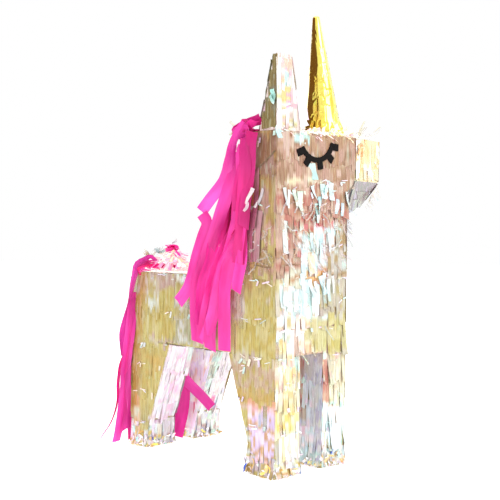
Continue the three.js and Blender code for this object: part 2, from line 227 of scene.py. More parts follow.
def film_material(name, alpha=1.0, film_nm=430.0, metallic=0.18, rough=0.26, glow=0.0, depth=0.76, spec=0.5):
    """Fringed iridescent film: the strip's own tint, drawn-out streaks along it, and a thin-film gloss, with an
    optional emission glow, which is painted light.
    """
    m, t, b, out = new_mat(name)
    col = node(t, "ShaderNodeVertexColor", layer_name="Col")
    uv = node(t, "ShaderNodeUVMap", uv_map="UVMap")
    mp = node(t, "ShaderNodeMapping")
    mp.inputs["Scale"].default_value = (900.0, 38.0, 1.0)
    t.links.new(uv.outputs[0], mp.inputs[0])
    n1 = node(t, "ShaderNodeTexNoise", i_Scale=1.0, i_Detail=4.0, i_Roughness=0.62)
    t.links.new(mp.outputs[0], n1.inputs["Vector"])
    r1 = node(t, "ShaderNodeValToRGB")
    r1.color_ramp.elements[0].position = 0.36
    r1.color_ramp.elements[0].color = (0.80, 0.75, 0.70, 1)
    r1.color_ramp.elements[1].position = 0.62
    r1.color_ramp.elements[1].color = (1.10, 1.10, 1.12, 1)
    t.links.new(n1.outputs["Fac"], r1.inputs["Fac"])
    c1 = mix_rgb(t, 1.0, col.outputs["Color"], r1.outputs["Color"], "MULTIPLY")
    mp2 = node(t, "ShaderNodeMapping")
    mp2.inputs["Scale"].default_value = (260.0, 22.0, 1.0)
    mp2.inputs["Location"].default_value = (3.1, 7.7, 0.0)
    t.links.new(uv.outputs[0], mp2.inputs[0])
    n2 = node(t, "ShaderNodeTexNoise", i_Scale=1.0, i_Detail=3.0, i_Roughness=0.6)
    t.links.new(mp2.outputs[0], n2.inputs["Vector"])
    r2 = node(t, "ShaderNodeValToRGB")
    e = r2.color_ramp.elements
    e[0].position, e[0].color = 0.30, (*lin((226, 190, 214)), 1)
    e[1].position, e[1].color = 0.70, (*lin((214, 244, 240)), 1)
    k = e.new(0.50)
    k.color = (*lin((236, 222, 176)), 1)
    t.links.new(n2.outputs["Color"], r2.inputs["Fac"])
    mask = node(t, "ShaderNodeMapRange")
    mask.inputs["From Min"].default_value = 0.52
    mask.inputs["From Max"].default_value = 0.66
    mask.inputs["To Max"].default_value = 0.42
    t.links.new(n2.outputs["Fac"], mask.inputs["Value"])
    c2 = mix_rgb(t, mask.outputs[0], c1, r2.outputs["Color"])
    c2 = mix_rgb(t, 1.0, c2, (depth, depth, depth), "MULTIPLY")
    t.links.new(c2, b.inputs["Base Color"])
    b.inputs["Metallic"].default_value = metallic
    rr = node(t, "ShaderNodeMapRange")
    rr.inputs["To Min"].default_value = rough - 0.1
    rr.inputs["To Max"].default_value = rough + 0.14
    t.links.new(n2.outputs["Fac"], rr.inputs["Value"])
    t.links.new(rr.outputs[0], b.inputs["Roughness"])
    b.inputs["Thin Film Thickness"].default_value = film_nm
    b.inputs["Thin Film IOR"].default_value = 1.7
    b.inputs["IOR"].default_value = 1.5
    b.inputs["Specular IOR Level"].default_value = spec
    bump = node(t, "ShaderNodeBump", i_Strength=0.35, i_Distance=0.0006)
    t.links.new(n1.outputs["Fac"], bump.inputs["Height"])
    t.links.new(bump.outputs[0], b.inputs["Normal"])
    # emission: painted light that lifts the film out of its shade
    if glow:
        t.links.new(c2, b.inputs["Emission Color"])
        b.inputs["Emission Strength"].default_value = glow
    if alpha < 1:
        b.inputs["Alpha"].default_value = alpha
    return m


def streamer_material(name, base, deep, lighten=0.25):
    """Pink crepe-plastic streamer: fine lengthwise grain, soft folds, a little light coming through."""
    m, t, b, out = new_mat(name)
    uv = node(t, "ShaderNodeUVMap", uv_map="UVMap")
    mp = node(t, "ShaderNodeMapping")
    mp.inputs["Scale"].default_value = (420.0, 9.0, 1.0)
    t.links.new(uv.outputs[0], mp.inputs[0])
    n1 = node(t, "ShaderNodeTexNoise", i_Scale=1.0, i_Detail=3.0, i_Roughness=0.6)
    t.links.new(mp.outputs[0], n1.inputs["Vector"])
    mp2 = node(t, "ShaderNodeMapping")
    mp2.inputs["Scale"].default_value = (60.0, 14.0, 1.0)
    t.links.new(uv.outputs[0], mp2.inputs[0])
    n2 = node(t, "ShaderNodeTexNoise", i_Scale=1.0, i_Detail=2.0)
    t.links.new(mp2.outputs[0], n2.inputs["Vector"])
    col = node(t, "ShaderNodeVertexColor", layer_name="Col")
    r = node(t, "ShaderNodeValToRGB")
    r.color_ramp.elements[0].position = 0.35
    r.color_ramp.elements[0].color = (*lin(deep), 1)
    r.color_ramp.elements[1].position = 0.62
    r.color_ramp.elements[1].color = (*lin(base), 1)
    t.links.new(n2.outputs["Fac"], r.inputs["Fac"])
    c = mix_rgb(t, 1.0, r.outputs["Color"], col.outputs["Color"], "MULTIPLY")
    g = node(t, "ShaderNodeMapRange")
    g.inputs["To Min"].default_value = 0.82
    g.inputs["To Max"].default_value = 1.14
    t.links.new(n1.outputs["Fac"], g.inputs["Value"])
    gg = node(t, "ShaderNodeCombineColor")
    for i in range(3):
        t.links.new(g.outputs[0], gg.inputs[i])
    c = mix_rgb(t, 1.0, c, gg.outputs[0], "MULTIPLY")
    t.links.new(c, b.inputs["Base Color"])
    b.inputs["Roughness"].default_value = 0.46
    b.inputs["Sheen Weight"].default_value = 0.1
    b.inputs["Specular IOR Level"].default_value = 0.35
    bump = node(t, "ShaderNodeBump", i_Strength=0.3, i_Distance=0.0005)
    t.links.new(n1.outputs["Fac"], bump.inputs["Height"])
    t.links.new(bump.outputs[0], b.inputs["Normal"])
    tr = node(t, "ShaderNodeBsdfTranslucent")
    t.links.new(c, tr.inputs["Color"])
    ms = node(t, "ShaderNodeMixShader")
    ms.inputs[0].default_value = lighten
    t.links.new(b.outputs[0], ms.inputs[1])
    t.links.new(tr.outputs[0], ms.inputs[2])
    t.links.new(ms.outputs[0], out.inputs["Surface"])
    return m


def card_material(name, tone):
    """Corrugated card: flutes showing faintly through the liner, fibres and specks."""
    m, t, b, out = new_mat(name)
    tc = node(t, "ShaderNodeTexCoord")
    n1 = node(t, "ShaderNodeTexNoise", i_Scale=160.0, i_Detail=5.0, i_Roughness=0.7)
    t.links.new(tc.outputs["Object"], n1.inputs["Vector"])
    wv = node(t, "ShaderNodeTexWave", i_Scale=70.0, i_Distortion=0.6, i_Detail=1.0)
    wv.bands_direction = "Z"
    t.links.new(tc.outputs["Object"], wv.inputs["Vector"])
    r = node(t, "ShaderNodeValToRGB")
    r.color_ramp.elements[0].position = 0.3
    r.color_ramp.elements[0].color = (*[v * 0.72 for v in lin(tone)], 1)
    r.color_ramp.elements[1].position = 0.7
    r.color_ramp.elements[1].color = (*lin(tone), 1)
    t.links.new(n1.outputs["Fac"], r.inputs["Fac"])
    c = mix_rgb(t, 0.12, r.outputs["Color"], wv.outputs["Color"], "MULTIPLY")
    t.links.new(c, b.inputs["Base Color"])
    b.inputs["Roughness"].default_value = 0.88
    bump = node(t, "ShaderNodeBump", i_Strength=0.25, i_Distance=0.0006)
    t.links.new(wv.outputs["Fac"], bump.inputs["Height"])
    bump2 = node(t, "ShaderNodeBump", i_Strength=0.2, i_Distance=0.0003)
    t.links.new(n1.outputs["Fac"], bump2.inputs["Height"])
    t.links.new(bump.outputs[0], bump2.inputs["Normal"])
    t.links.new(bump2.outputs[0], b.inputs["Normal"])
    return m


def foil_material(name):
    """Gold foil pulled tight round the cone: mirror-like, with a fine crumple."""
    m, t, b, out = new_mat(name)
    tc = node(t, "ShaderNodeTexCoord")
    n1 = node(t, "ShaderNodeTexNoise", i_Scale=26.0, i_Detail=2.0, i_Roughness=0.5)
    t.links.new(tc.outputs["Object"], n1.inputs["Vector"])
    v = node(t, "ShaderNodeTexVoronoi", i_Scale=34.0)
    v.feature = "DISTANCE_TO_EDGE"
    mpv = node(t, "ShaderNodeMapping")
    mpv.inputs["Scale"].default_value = (1.0, 1.0, 0.35)
    t.links.new(tc.outputs["Object"], mpv.inputs[0])
    t.links.new(mpv.outputs[0], v.inputs["Vector"])
    r = node(t, "ShaderNodeValToRGB")
    r.color_ramp.elements[0].position = 0.35
    r.color_ramp.elements[0].color = (1.0, 0.74, 0.10, 1)
    r.color_ramp.elements[1].position = 0.62
    r.color_ramp.elements[1].color = (1.0, 0.86, 0.18, 1)
    t.links.new(n1.outputs["Fac"], r.inputs["Fac"])
    t.links.new(r.outputs["Color"], b.inputs["Base Color"])
    b.inputs["Metallic"].default_value = 1.0
    b.inputs["Roughness"].default_value = 0.11
    edge = node(t, "ShaderNodeMapRange")
    edge.inputs["From Max"].default_value = 0.035
    t.links.new(v.outputs["Distance"], edge.inputs["Value"])
    bump = node(t, "ShaderNodeBump", i_Strength=0.35, i_Distance=0.0006)
    t.links.new(edge.outputs[0], bump.inputs["Height"])
    bump2 = node(t, "ShaderNodeBump", i_Strength=0.25, i_Distance=0.0014)
    t.links.new(n1.outputs["Fac"], bump2.inputs["Height"])
    t.links.new(bump.outputs[0], bump2.inputs["Normal"])
    t.links.new(bump2.outputs[0], b.inputs["Normal"])
    return m


def sticker_material(name):
    m, t, b, out = new_mat(name)
    tc = node(t, "ShaderNodeTexCoord")
    n1 = node(t, "ShaderNodeTexNoise", i_Scale=420.0, i_Detail=3.0)
    t.links.new(tc.outputs["Object"], n1.inputs["Vector"])
    r = node(t, "ShaderNodeValToRGB")
    r.color_ramp.elements[0].color = (0.004, 0.004, 0.004, 1)
    r.color_ramp.elements[1].color = (0.016, 0.013, 0.012, 1)
    t.links.new(n1.outputs["Fac"], r.inputs["Fac"])
    t.links.new(r.outputs["Color"], b.inputs["Base Color"])
    b.inputs["Roughness"].default_value = 0.85
    b.inputs["Specular IOR Level"].default_value = 0.04
    bump = node(t, "ShaderNodeBump", i_Strength=0.3, i_Distance=0.0003)
    t.links.new(n1.outputs["Fac"], bump.inputs["Height"])
    t.links.new(bump.outputs[0], b.inputs["Normal"])
    return m


FILM = film_material("film_strips")
# film for the strips whose tint is a painted highlight: cyan-white colour standing in for light reflected off the film
FILM_HIGHLIGHT = film_material("film_strips_bright", metallic=0.05, rough=0.2, film_nm=520.0, depth=0.86)
FILM_CLEAR = film_material("film_clear", alpha=0.46, metallic=0.0, rough=0.14, film_nm=380.0)
# the soft film glows by emission: painted light on the back, flap and crown fringe, the far rear leg's inner face, the
# tail puff, the crown film and the feet's ruffles
FILM_GLOW = film_material("film_soft", metallic=0.0, rough=0.55, film_nm=0.0, depth=0.98, spec=0.12, glow=0.34)
STREAMER = streamer_material("streamer_pink", (255, 66, 178), (236, 40, 150))
CARD = card_material("card", (186, 148, 104))
BASE_CARD = card_material("card_base", (170, 132, 92))
FOIL = foil_material("foil_gold")
STICKER = sticker_material("sticker_black")


# ---------------------------------------------------------------------------------------------------- mesh kit
class Strips:
    """Gathers many thin strips into one mesh, with a colour and a UV for every corner."""

    def __init__(self):
        self.v, self.f, self.c, self.uv = [], [], [], []

    def strip(self, rows, colors, uvs):
        """rows: list of lists of points across the strip; colors: one per row; uvs like rows."""
        base = len(self.v)
        m = len(rows[0])
        for row, col, uvr in zip(rows, colors, uvs):
            for p, q in zip(row, uvr):
                self.v.append(p)
                self.c.append(col)
                self.uv.append(q)
        for i in range(len(rows) - 1):
            for j in range(m - 1):
                a = base + i * m + j
                self.f.append((a, a + 1, a + m + 1, a + m))

    def build(self, name, mat, smooth=True):
        me = bpy.data.meshes.new(name)
        me.from_pydata([tuple(p) for p in self.v], [], self.f)
        ca = me.color_attributes.new("Col", "FLOAT_COLOR", "POINT")
        ca.data.foreach_set("color", np.array([(*c[:3], 1.0) for c in self.c], np.float32).ravel())
        uvl = me.uv_layers.new(name="UVMap")
        loops = np.zeros(len(me.loops), np.int32)
        me.loops.foreach_get("vertex_index", loops)
        uv = np.array(self.uv, np.float32)[loops]
        uvl.data.foreach_set("uv", uv.ravel())
        if smooth:
            me.polygons.foreach_set("use_smooth", np.ones(len(me.polygons), bool))
        me.materials.append(mat)
        me.update()
        o = bpy.data.objects.new(name, me)
        scene.collection.objects.link(o)
        return o


def pick(rng, palette):
    """One colour of a weighted palette."""
    total = sum(w for w, _ in palette)
    x = rng.random() * total
    for w, c in palette:
        x -= w
        if x <= 0:
            return c
    return palette[-1][1]


def field(w, l, z, scale, seed):
    return noise.noise(Vector((w / scale + seed * 13.7, l / scale - seed * 5.1, z / scale + seed * 3.3)))


def jitter(rng, c, amount=0.06):
    k = 1.0 + rng.uniform(-amount, amount)
    return [max(0.0, min(1.0, v * k * (1.0 + rng.uniform(-amount, amount) * 0.5))) for v in c]


class Region:
    """A flat face of the animal that carries rows of fringe.
    o: a corner in (w, l, z) mm; s: direction across; h: direction up the face (towards the strips' roots); n: outward.
    span(t): the strip roots' range across, at height t up the face."""

    def __init__(self, name, body, o, s, h, n, height, span, base, shine, seed, **kw):
        self.name, self.body = name, body
        self.o, self.s, self.h, self.n = Vector(o), Vector(s).normalized(), Vector(h).normalized(), Vector(n).normalized()
        self.height, self.span, self.base, self.shine, self.seed = height, span, base, shine, seed
        self.kw = dict(pitch=22.0, length=40.0, width=5.0, lift=1.6, curl=2.2, sway=2.0, wild=0.05, shine_at=0.30, drop=6.0,
                       floor=None, keep=None, tone=None, clear=0.03, offset=0.4, mix=0.14, twist=0.14, vary=0.06, patch=34.0,
                       scraps=0.0, fluff=0.0, odd=0.012, patches=(), axis="x", short=0.78)
        self.kw.update(kw)


def place_tint(region, palette, shine, p, off, pick_shine):
    """The film's tint at a place on the face, and whether a painted highlight goes there (a cyan-white tint standing
    in for light reflected off the film).
    """
    k = region.kw
    q = p + off
    x = q.x if k["axis"] == "x" else q.y
    # each patch is (x0, x1, z0, z1, colours, flag); a set flag makes the patch's colours painted highlights
    for x0, x1, z0, z1, colours, highlight_flag in k["patches"]:
        e = 4.5 * field(*q, 9.0, region.seed + 31) + 3.0 * field(*q, 3.5, region.seed + 37)
        if x0 - e < x < x1 + e and z0 - 1.4 * e < q.z < z1 + 1.4 * e:
            f = 0.5 + 0.9 * field(q.x, q.y, q.z * 0.5, 9.0, region.seed + 41)
            return lin(colours[min(len(colours) - 1, max(0, int(f * len(colours))))]), highlight_flag
    # where a second noise field is high, the strip takes a painted highlight tint
    f2 = field(q.x, q.y, q.z * 0.6, 22.0, region.seed + 11) + 0.5 * field(q.x, q.y, q.z * 0.5, 7.0, region.seed + 17)
    if f2 > k["shine_at"]:
        return shine[pick_shine][1], True
    f1 = field(q.x, q.y, q.z * 0.6, k["patch"], region.seed) + 0.5 * field(q.x, q.y, q.z * 0.35, k["patch"] / 3.5, region.seed + 3)
    v = min(0.999, max(0.0, 0.5 + f1 * 0.95))
    acc, total = 0.0, sum(e[0] for e in palette)
    for wgt, c in palette:
        acc += wgt / total
        if v <= acc:
            return c, False
    return palette[-1][1], False


def fringe(region, opaque, bright, clear):
    k = region.kw
    rng = random.Random(region.seed * 7919 + 17)
    palette = [(w, lin(c)) for w, c in region.base]
    shine = [(w, lin(c)) for w, c in region.shine]
    t = k["drop"]
    row = 0
    while t < region.height + k["pitch"] * 0.9:
        top = min(t + k["pitch"], region.height)
        lo, hi = region.span(min(max(top, 0.0), region.height))
        s = lo - rng.uniform(0, k["width"] * 0.5)
        while s < hi:
            wd = k["width"] * rng.choice((0.55, 0.75, 0.9, 1.0, 1.15, 1.5))
            c0 = s + wd / 2
            s += wd * rng.uniform(0.84, 0.98)
            if c0 < lo - 0.5 or c0 > hi + 0.5:
                continue
            length = k["length"] * rng.uniform(k["short"], 1.10)
            bottom = k["floor"](c0) if callable(k["floor"]) else k["floor"]
            if bottom is not None and top - length < bottom:
                length = top - bottom - rng.uniform(0.0, 3.0 if bottom >= 0 else 9.0)
                if length < 5:
                    continue
            root = region.o + region.s * c0 + region.h * top
            mid = root - region.h * (length * 0.5)
            if k["keep"] is not None and not k["keep"](root, mid):
                continue
            off = Vector((rng.gauss(0, 1), rng.gauss(0, 1), rng.gauss(0, 2.6))) * k["mix"] * 30.0
            which = 0
            x = rng.random() * sum(w for w, _ in shine)
            for which, (w, _) in enumerate(shine):
                x -= w
                if x <= 0:
                    break
            is_highlight = place_tint(region, palette, shine, mid, off, which)[1]
            # a few stray strips take a painted highlight tint anywhere on the face
            odd = rng.random() < k["odd"]
            if odd:
                is_highlight = True
            tone = None
            if k["tone"] is not None:
                over = k["tone"](mid, rng)
                if over is not None:
                    tone, is_highlight = lin(over[0]), over[1]
            gain = [(1 + rng.uniform(-k["vary"], k["vary"])) * (1 + rng.uniform(-k["vary"], k["vary"]) * 0.5) for _ in range(3)]
            g0 = 1 + rng.uniform(-k["vary"], k["vary"])
            wild = rng.random() < k["wild"]
            lift = k["lift"] * rng.uniform(0.4, 1.0) * (2.4 if wild else 1.0)
            curl = k["curl"] * rng.uniform(0.0, 1.0) * (2.4 if wild else 1.0)
            sway = k["sway"] * rng.gauss(0, 1) * (2.2 if wild else 1.0)
            low = max(0.0, 1.0 - max(0.0, mid.z - 12.0) / 34.0) * k["fluff"]
            wild = wild or rng.random() < 0.35 * low
            lift *= 1 + 1.2 * low
            curl = curl * (1 + 1.6 * low) + rng.uniform(0, 4.0) * low
            sway *= 1 + 0.8 * low
            twist = rng.gauss(0, k["twist"]) * (3.0 if wild else 1.0) * (1 + low)
            segs = 7
            rows, cols, uvs = [], [], []
            edge = max(0.0, 1.0 - min(c0 - lo, hi - c0) / 5.0)
            ph = rng.uniform(0, 6.28)
            du = rng.gauss(0, 0.0012)
            for i in range(segs + 1):
                a = i / segs
                tt = top - length * a
                nn = k["offset"] + row % 2 * 0.12 + lift * math.sin(math.pi * min(1.0, a * 0.8)) * 0.8 + curl * a * a * (1 + 0.5 * edge)
                nn = max(0.25, nn + 0.12 * k["lift"] * math.sin(ph + a * 9.0))
                ds = sway * a ** 2.0
                tw = twist * a * a * 1.4
                l2, h2 = region.span(min(max(tt, 0.0), region.height))
                half = wd / 2 * (1.0 - 0.08 * a)
                c1 = min(max(c0 + ds, l2 + half * 0.6 - 0.4), max(l2, h2 - half * 0.6 + 0.4))
                p = region.o + region.s * c1 + region.h * tt + region.n * nn
                side = region.s * math.cos(tw) + region.n * math.sin(tw)
                cut = (rng.uniform(-0.18, 0.18) * wd) if i == segs else 0.0
                pa, pb = p - side * half - region.h * cut, p + side * half + region.h * cut
                for pt in (pa, pb):
                    below = (pt - region.o).dot(region.n)
                    if below < 0.2:
                        pt += region.n * (0.2 - below)
                    if pt.z < 0.6:
                        pt.z = 0.6
                rows.append((P(*pa), P(*pb)))
                if tone is not None:
                    col = tone
                elif odd:
                    col = shine[which][1]
                else:
                    col = place_tint(region, palette, shine, region.o + region.s * c1 + region.h * tt, off, which)[0]
                cols.append([min(1.0, v * g * g0) for v, g in zip(col, gain)])
                uvs.append((((c1 - half) / 1000.0 + du, tt / 1000.0 + row * 0.37), ((c1 + half) / 1000.0 + du, tt / 1000.0 + row * 0.37)))
            # painted-highlight strips are built apart, with the brighter film
            target = clear if (rng.random() < k["clear"]) else (bright if is_highlight else opaque)
            target.strip(rows, cols, uvs)
        if k["scraps"]:
            # small cut ends and creases where one row's tips lie over the next row's roots; their pale tints are
            # painted highlights on the folded edges
            for _ in range(int((hi - lo) * k["scraps"])):
                c0 = lo + 2 + rng.random() * max(0.0, hi - lo - 4)
                tt = top - k["pitch"] * 0.02 + rng.gauss(0, 2.0)
                where = region.o + region.s * c0 + region.h * tt
                if field(*where, 13.0, region.seed + 29) < 0.10 or not 0 < tt < region.height:
                    continue
                if k["keep"] is not None and not k["keep"](where, where):
                    continue
                flat = rng.random() < 0.7
                ln, wd = (rng.uniform(5, 13), rng.uniform(0.8, 2.0)) if flat else (rng.uniform(4, 9), rng.uniform(2.5, 5.0))
                ang = rng.gauss(0, 0.22) + (math.pi / 2 if flat else 0.0)
                dn = region.h * -math.cos(ang) + region.s * math.sin(ang)
                sd = region.s * math.cos(ang) + region.h * math.sin(ang)
                col = jitter(rng, lin(rng.choice(((236, 246, 246), (206, 240, 232), (244, 226, 236), (250, 244, 220), (226, 218, 236)))), 0.05)
                rows, cols, uvs = [], [], []
                for i in range(4):
                    a = i / 3
                    p = where + dn * (ln * a) + region.n * (k["offset"] + k["lift"] * 0.8 + 0.8 + (1.0 * a * a if not flat else 0.3 * math.sin(a * 5)))
                    rows.append((P(*(p - sd * wd / 2)), P(*(p + sd * wd / 2))))
                    cols.append(col)
                    uvs.append(((c0 / 1000, ln * a / 1000), (c0 / 1000 + wd / 1000, ln * a / 1000)))
                bright.strip(rows, cols, uvs)
        t += k["pitch"]
        row += 1


# ---------------------------------------------------------------------------------------------------- palettes
# Each face's palette is partly the film's own mixed tints and partly its colour as seen from that side (olive-gold on
# the sides, pink on the front): painted iridescent reflection. The *_SH lists are painted highlights: cyan-white tints
# standing in for light reflected off the film.
OLIVE = [(0.20, (186, 158, 98)), (0.34, (206, 182, 116)), (0.16, (196, 168, 86)), (0.16, (212, 190, 168)), (0.14, (196, 156, 152))]
OLIVE_SH = [(0.5, (236, 241, 243)), (0.3, (214, 196, 206)), (0.2, (226, 236, 214))]
NECK = [(0.26, (184, 144, 94)), (0.18, (192, 162, 102)), (0.26, (202, 158, 148)), (0.18, (200, 124, 144)), (0.12, (216, 178, 178))]
NECK_SH = [(0.5, (244, 232, 234)), (0.3, (214, 226, 226)), (0.2, (232, 206, 222))]
FRONTN = [(0.20, (181, 130, 122)), (0.30, (204, 160, 150)), (0.24, (214, 184, 174)), (0.14, (196, 158, 120)), (0.12, (224, 210, 196))]
FRONTN_SH = [(0.55, (226, 249, 246)), (0.25, (244, 236, 206)), (0.20, (222, 204, 226))]
FACE = [(0.26, (172, 122, 102)), (0.32, (200, 152, 138)), (0.22, (188, 138, 112)), (0.20, (222, 186, 176))]
FACE_SH = [(0.5, (238, 242, 234)), (0.3, (222, 246, 244)), (0.2, (238, 216, 196))]
CHEST = [(0.26, (216, 198, 150)), (0.30, (224, 210, 194)), (0.22, (207, 195, 178)), (0.22, (222, 196, 150))]
CHEST_SH = [(0.7, (232, 251, 249)), (0.2, (250, 246, 232)), (0.1, (232, 220, 240))]
LEGY = [(0.26, (248, 226, 150)), (0.22, (250, 240, 200)), (0.20, (240, 206, 150)), (0.16, (240, 200, 190)), (0.16, (246, 240, 224))]
LEGY_SH = [(0.6, (244, 250, 250)), (0.2, (252, 238, 170)), (0.2, (240, 226, 250))]
LEGF = [(0.30, (226, 208, 172)), (0.30, (236, 226, 210)), (0.22, (216, 200, 186)), (0.18, (226, 184, 176))]
LEGF_SH = [(0.7, (222, 248, 248)), (0.3, (252, 252, 250))]
# LAV is lightened to offset the shade under the belly and between the legs, where it is used: painted light.
LAV = [(0.34, (240, 230, 234)), (0.22, (228, 210, 212)), (0.2, (214, 206, 240)), (0.24, (250, 246, 250))]
LAV_SH = [(0.6, (220, 242, 240)), (0.2, (206, 116, 146)), (0.2, (238, 238, 244))]
WHITE = [(0.34, (238, 226, 242)), (0.26, (228, 218, 228)), (0.22, (220, 188, 210)), (0.18, (240, 238, 232))]
WHITE_SH = [(0.8, (242, 247, 251)), (0.2, (226, 246, 240))]
MUZ = [(0.34, (240, 220, 176)), (0.26, (228, 202, 158)), (0.22, (240, 214, 148)), (0.18, (232, 186, 110))]
MUZ_SH = [(0.7, (253, 250, 234)), (0.3, (240, 246, 236))]
JAW = [(0.34, (164, 146, 142)), (0.22, (158, 126, 134)), (0.24, (184, 174, 162)), (0.2, (174, 154, 176))]
JAW_SH = [(0.7, (222, 240, 238)), (0.3, (214, 210, 226))]
EARS = [(0.4, (150, 132, 88)), (0.3, (146, 136, 110)), (0.3, (126, 114, 84))]
EARS_SH = [(0.8, (196, 240, 228)), (0.2, (214, 206, 190))]
EARF = [(0.3, (244, 206, 220)), (0.24, (224, 196, 190)), (0.2, (228, 210, 156)), (0.26, (248, 240, 240))]
EARF_SH = [(0.7, (250, 247, 247)), (0.3, (226, 246, 246))]
TOPP = [(0.36, (246, 240, 232)), (0.24, (240, 216, 224)), (0.2, (222, 204, 190)), (0.2, (238, 226, 180))]
TOPP_SH = [(0.7, (252, 250, 248)), (0.3, (228, 246, 246))]


def const(a, b):
    return lambda t: (a, b)


regions = []


def R(*a, **k):
    regions.append(Region(*a, **k))


FLAT = dict(lift=0.30, curl=0.5, sway=0.35, mix=0.03, twist=0.02, vary=0.02, shine_at=0.62, wild=0.01, clear=0.01, patch=40.0, odd=0.0)
LOOSE = dict(pitch=34, length=46, width=8.5, lift=0.45, curl=1.8, sway=1.8, mix=0.05, twist=0.045, vary=0.028, wild=0.07, patch=24.0, odd=0.03, short=0.70)


def over_side(c):
    """The body's film runs on over the tops of the legs, and is trimmed level between them."""
    return -13.0 if c < 72 or c > 196 else 0.3


def over_front(c):
    return -13.0 if c < 41 or c > 86 else 0.3



GOLDS = ((206, 182, 108), (198, 166, 84), (212, 190, 132))
MAUVES = ((206, 170, 160), (196, 152, 150), (214, 190, 186), (190, 150, 130))
# cyan-white tints: painted highlights, light reflected off the film
HIGHLIGHT_CYANS = ((222, 250, 248), (236, 252, 250), (206, 246, 244), (250, 250, 244))
ROSES = ((206, 140, 130), (196, 118, 112), (216, 170, 160), (188, 132, 110))
PEACHES = ((252, 226, 170), (250, 208, 140), (250, 238, 214), (240, 196, 160))
LAVS = ((226, 220, 246), (238, 234, 248), (214, 206, 240), (246, 244, 250))
ORANGES = ((214, 170, 84), (232, 196, 120), (200, 144, 70))
# right side: body, then neck (leaning nape), w = 0 looking -X
R("fringe_flank_right", "shell", (0, 0, BELLY), (0, 1, 0), (0, 0, 1), (-1, 0, 0), 93, const(0, L), OLIVE, OLIVE_SH, 1,
  pitch=44, length=52, width=5.5, scraps=0.12, drop=-1.0, floor=over_side, axis="y",
  patches=((222, 268, 214, 232, ((206, 186, 140), (196, 166, 110), (226, 214, 200)), False), (180, 240, 221, 238, MAUVES, False), (164, 186, 226, 236, HIGHLIGHT_CYANS, True), (217, 238, 190, 206, ((226, 226, 220), (214, 208, 190)), False),
           (148, 182, 146, 205, ((176, 160, 130), (196, 176, 160), (214, 206, 206), (186, 160, 110)), False), (51, 76, 186, 226, MAUVES, False),
           (0, 52, 146, 214, GOLDS, False), (186, 268, 150, 212, GOLDS, False)), **FLAT)
R("fringe_neck_right", "shell", (0, 0, BACK), (0, 1, 0), (0, 0, 1), (-1, 0, 0), 177, lambda t: (0, nape(BACK + t)), NECK, NECK_SH, 2,
  pitch=40, length=50, width=5.5, scraps=0.12, drop=8.0, axis="y",
  patches=((42, 88, 229, 350, ((210, 140, 156), (204, 120, 146), (216, 176, 176)), False), (26, 64, 250, 360, ((196, 150, 92), (204, 164, 112), (186, 138, 100)), False),
           (0, 24, 228, 300, ((204, 166, 127), (217, 165, 157), (210, 187, 120)), False), (0, 62, 360, 414, ((152, 112, 84), (166, 124, 104), (182, 142, 132)), False)), **FLAT)
# left side
R("fringe_flank_left", "shell", (W, 0, BELLY), (0, 1, 0), (0, 0, 1), (1, 0, 0), 93, const(0, L), OLIVE, OLIVE_SH, 3,
  floor=over_side, drop=-1.0, scraps=0.12, **{**FLAT, "pitch": 44, "length": 52, "width": 5.5, "shine_at": 0.45, "wild": 0.03, "curl": 1.0})
R("fringe_neck_left", "shell", (W, 0, BACK), (0, 1, 0), (0, 0, 1), (1, 0, 0), 78, lambda t: (0, nape(BACK + t)), FRONTN, FRONTN_SH, 4,
  **{**LOOSE, "curl": 1.8})
# front: chest, neck, face
R("fringe_chest", "shell", (0, 0, BELLY), (1, 0, 0), (0, 0, 1), (0, -1, 0), 95, const(0, W), CHEST, CHEST_SH, 5, scraps=0.10, drop=-2.0, floor=over_front, shine_at=0.6,
  patches=((22, 80, 233, 250, ORANGES, False), (9, 76, 194, 232, HIGHLIGHT_CYANS, True), (5, 22, 170, 196, HIGHLIGHT_CYANS, True), (22, 54, 148, 192, ((250, 244, 232), (252, 226, 196), (252, 252, 250)), True),
           (0, 22, 146, 172, PEACHES, False), (54, 76, 130, 156, PEACHES, False), (76, 128, 186, 242, ((206, 190, 176), (214, 204, 190), (196, 170, 120), (200, 180, 176)), False),
           (54, 128, 150, 188, ((208, 190, 122), (216, 200, 150), (204, 182, 104)), False)), **LOOSE)
R("fringe_neck_front", "shell", (0, 0, BACK), (1, 0, 0), (0, 0, 1), (0, -1, 0), 122, const(0, W), FRONTN, FRONTN_SH, 6, scraps=0.14, shine_at=0.55, drop=4.0,
  patches=((38, 84, 250, 296, HIGHLIGHT_CYANS, True), (76, 106, 284, 302, HIGHLIGHT_CYANS, True), (14, 44, 229, 252, ((226, 214, 200), (240, 236, 224), (206, 150, 120)), False), (24, 84, 233, 250, ORANGES, False), (2, 40, 252, 290, ROSES, False),
           (32, 90, 300, 312, ((204, 90, 96), (206, 130, 120)), False), (80, 128, 240, 296, ((200, 184, 172), (214, 206, 200), (186, 150, 110), (216, 220, 222)), False),
           (0, 128, 304, 352, ROSES, False)), **LOOSE)
R("fringe_face", "shell", (0, 0, 352), (1, 0, 0), (0, 0, 1), (0, -1, 0), 63, const(0, W + 17), FACE, FACE_SH, 7,
  patches=((14, 90, 352, 361, ((246, 232, 196), (240, 206, 190), (250, 244, 226)), True), (32, 56, 402, 414, HIGHLIGHT_CYANS, True)),
  **{**FLAT, "pitch": 31, "length": 38, "width": 6.5, "lift": 0.35, "curl": 0.5, "shine_at": 0.66, "patch": 22.0, "vary": 0.03, "drop": 1.0})
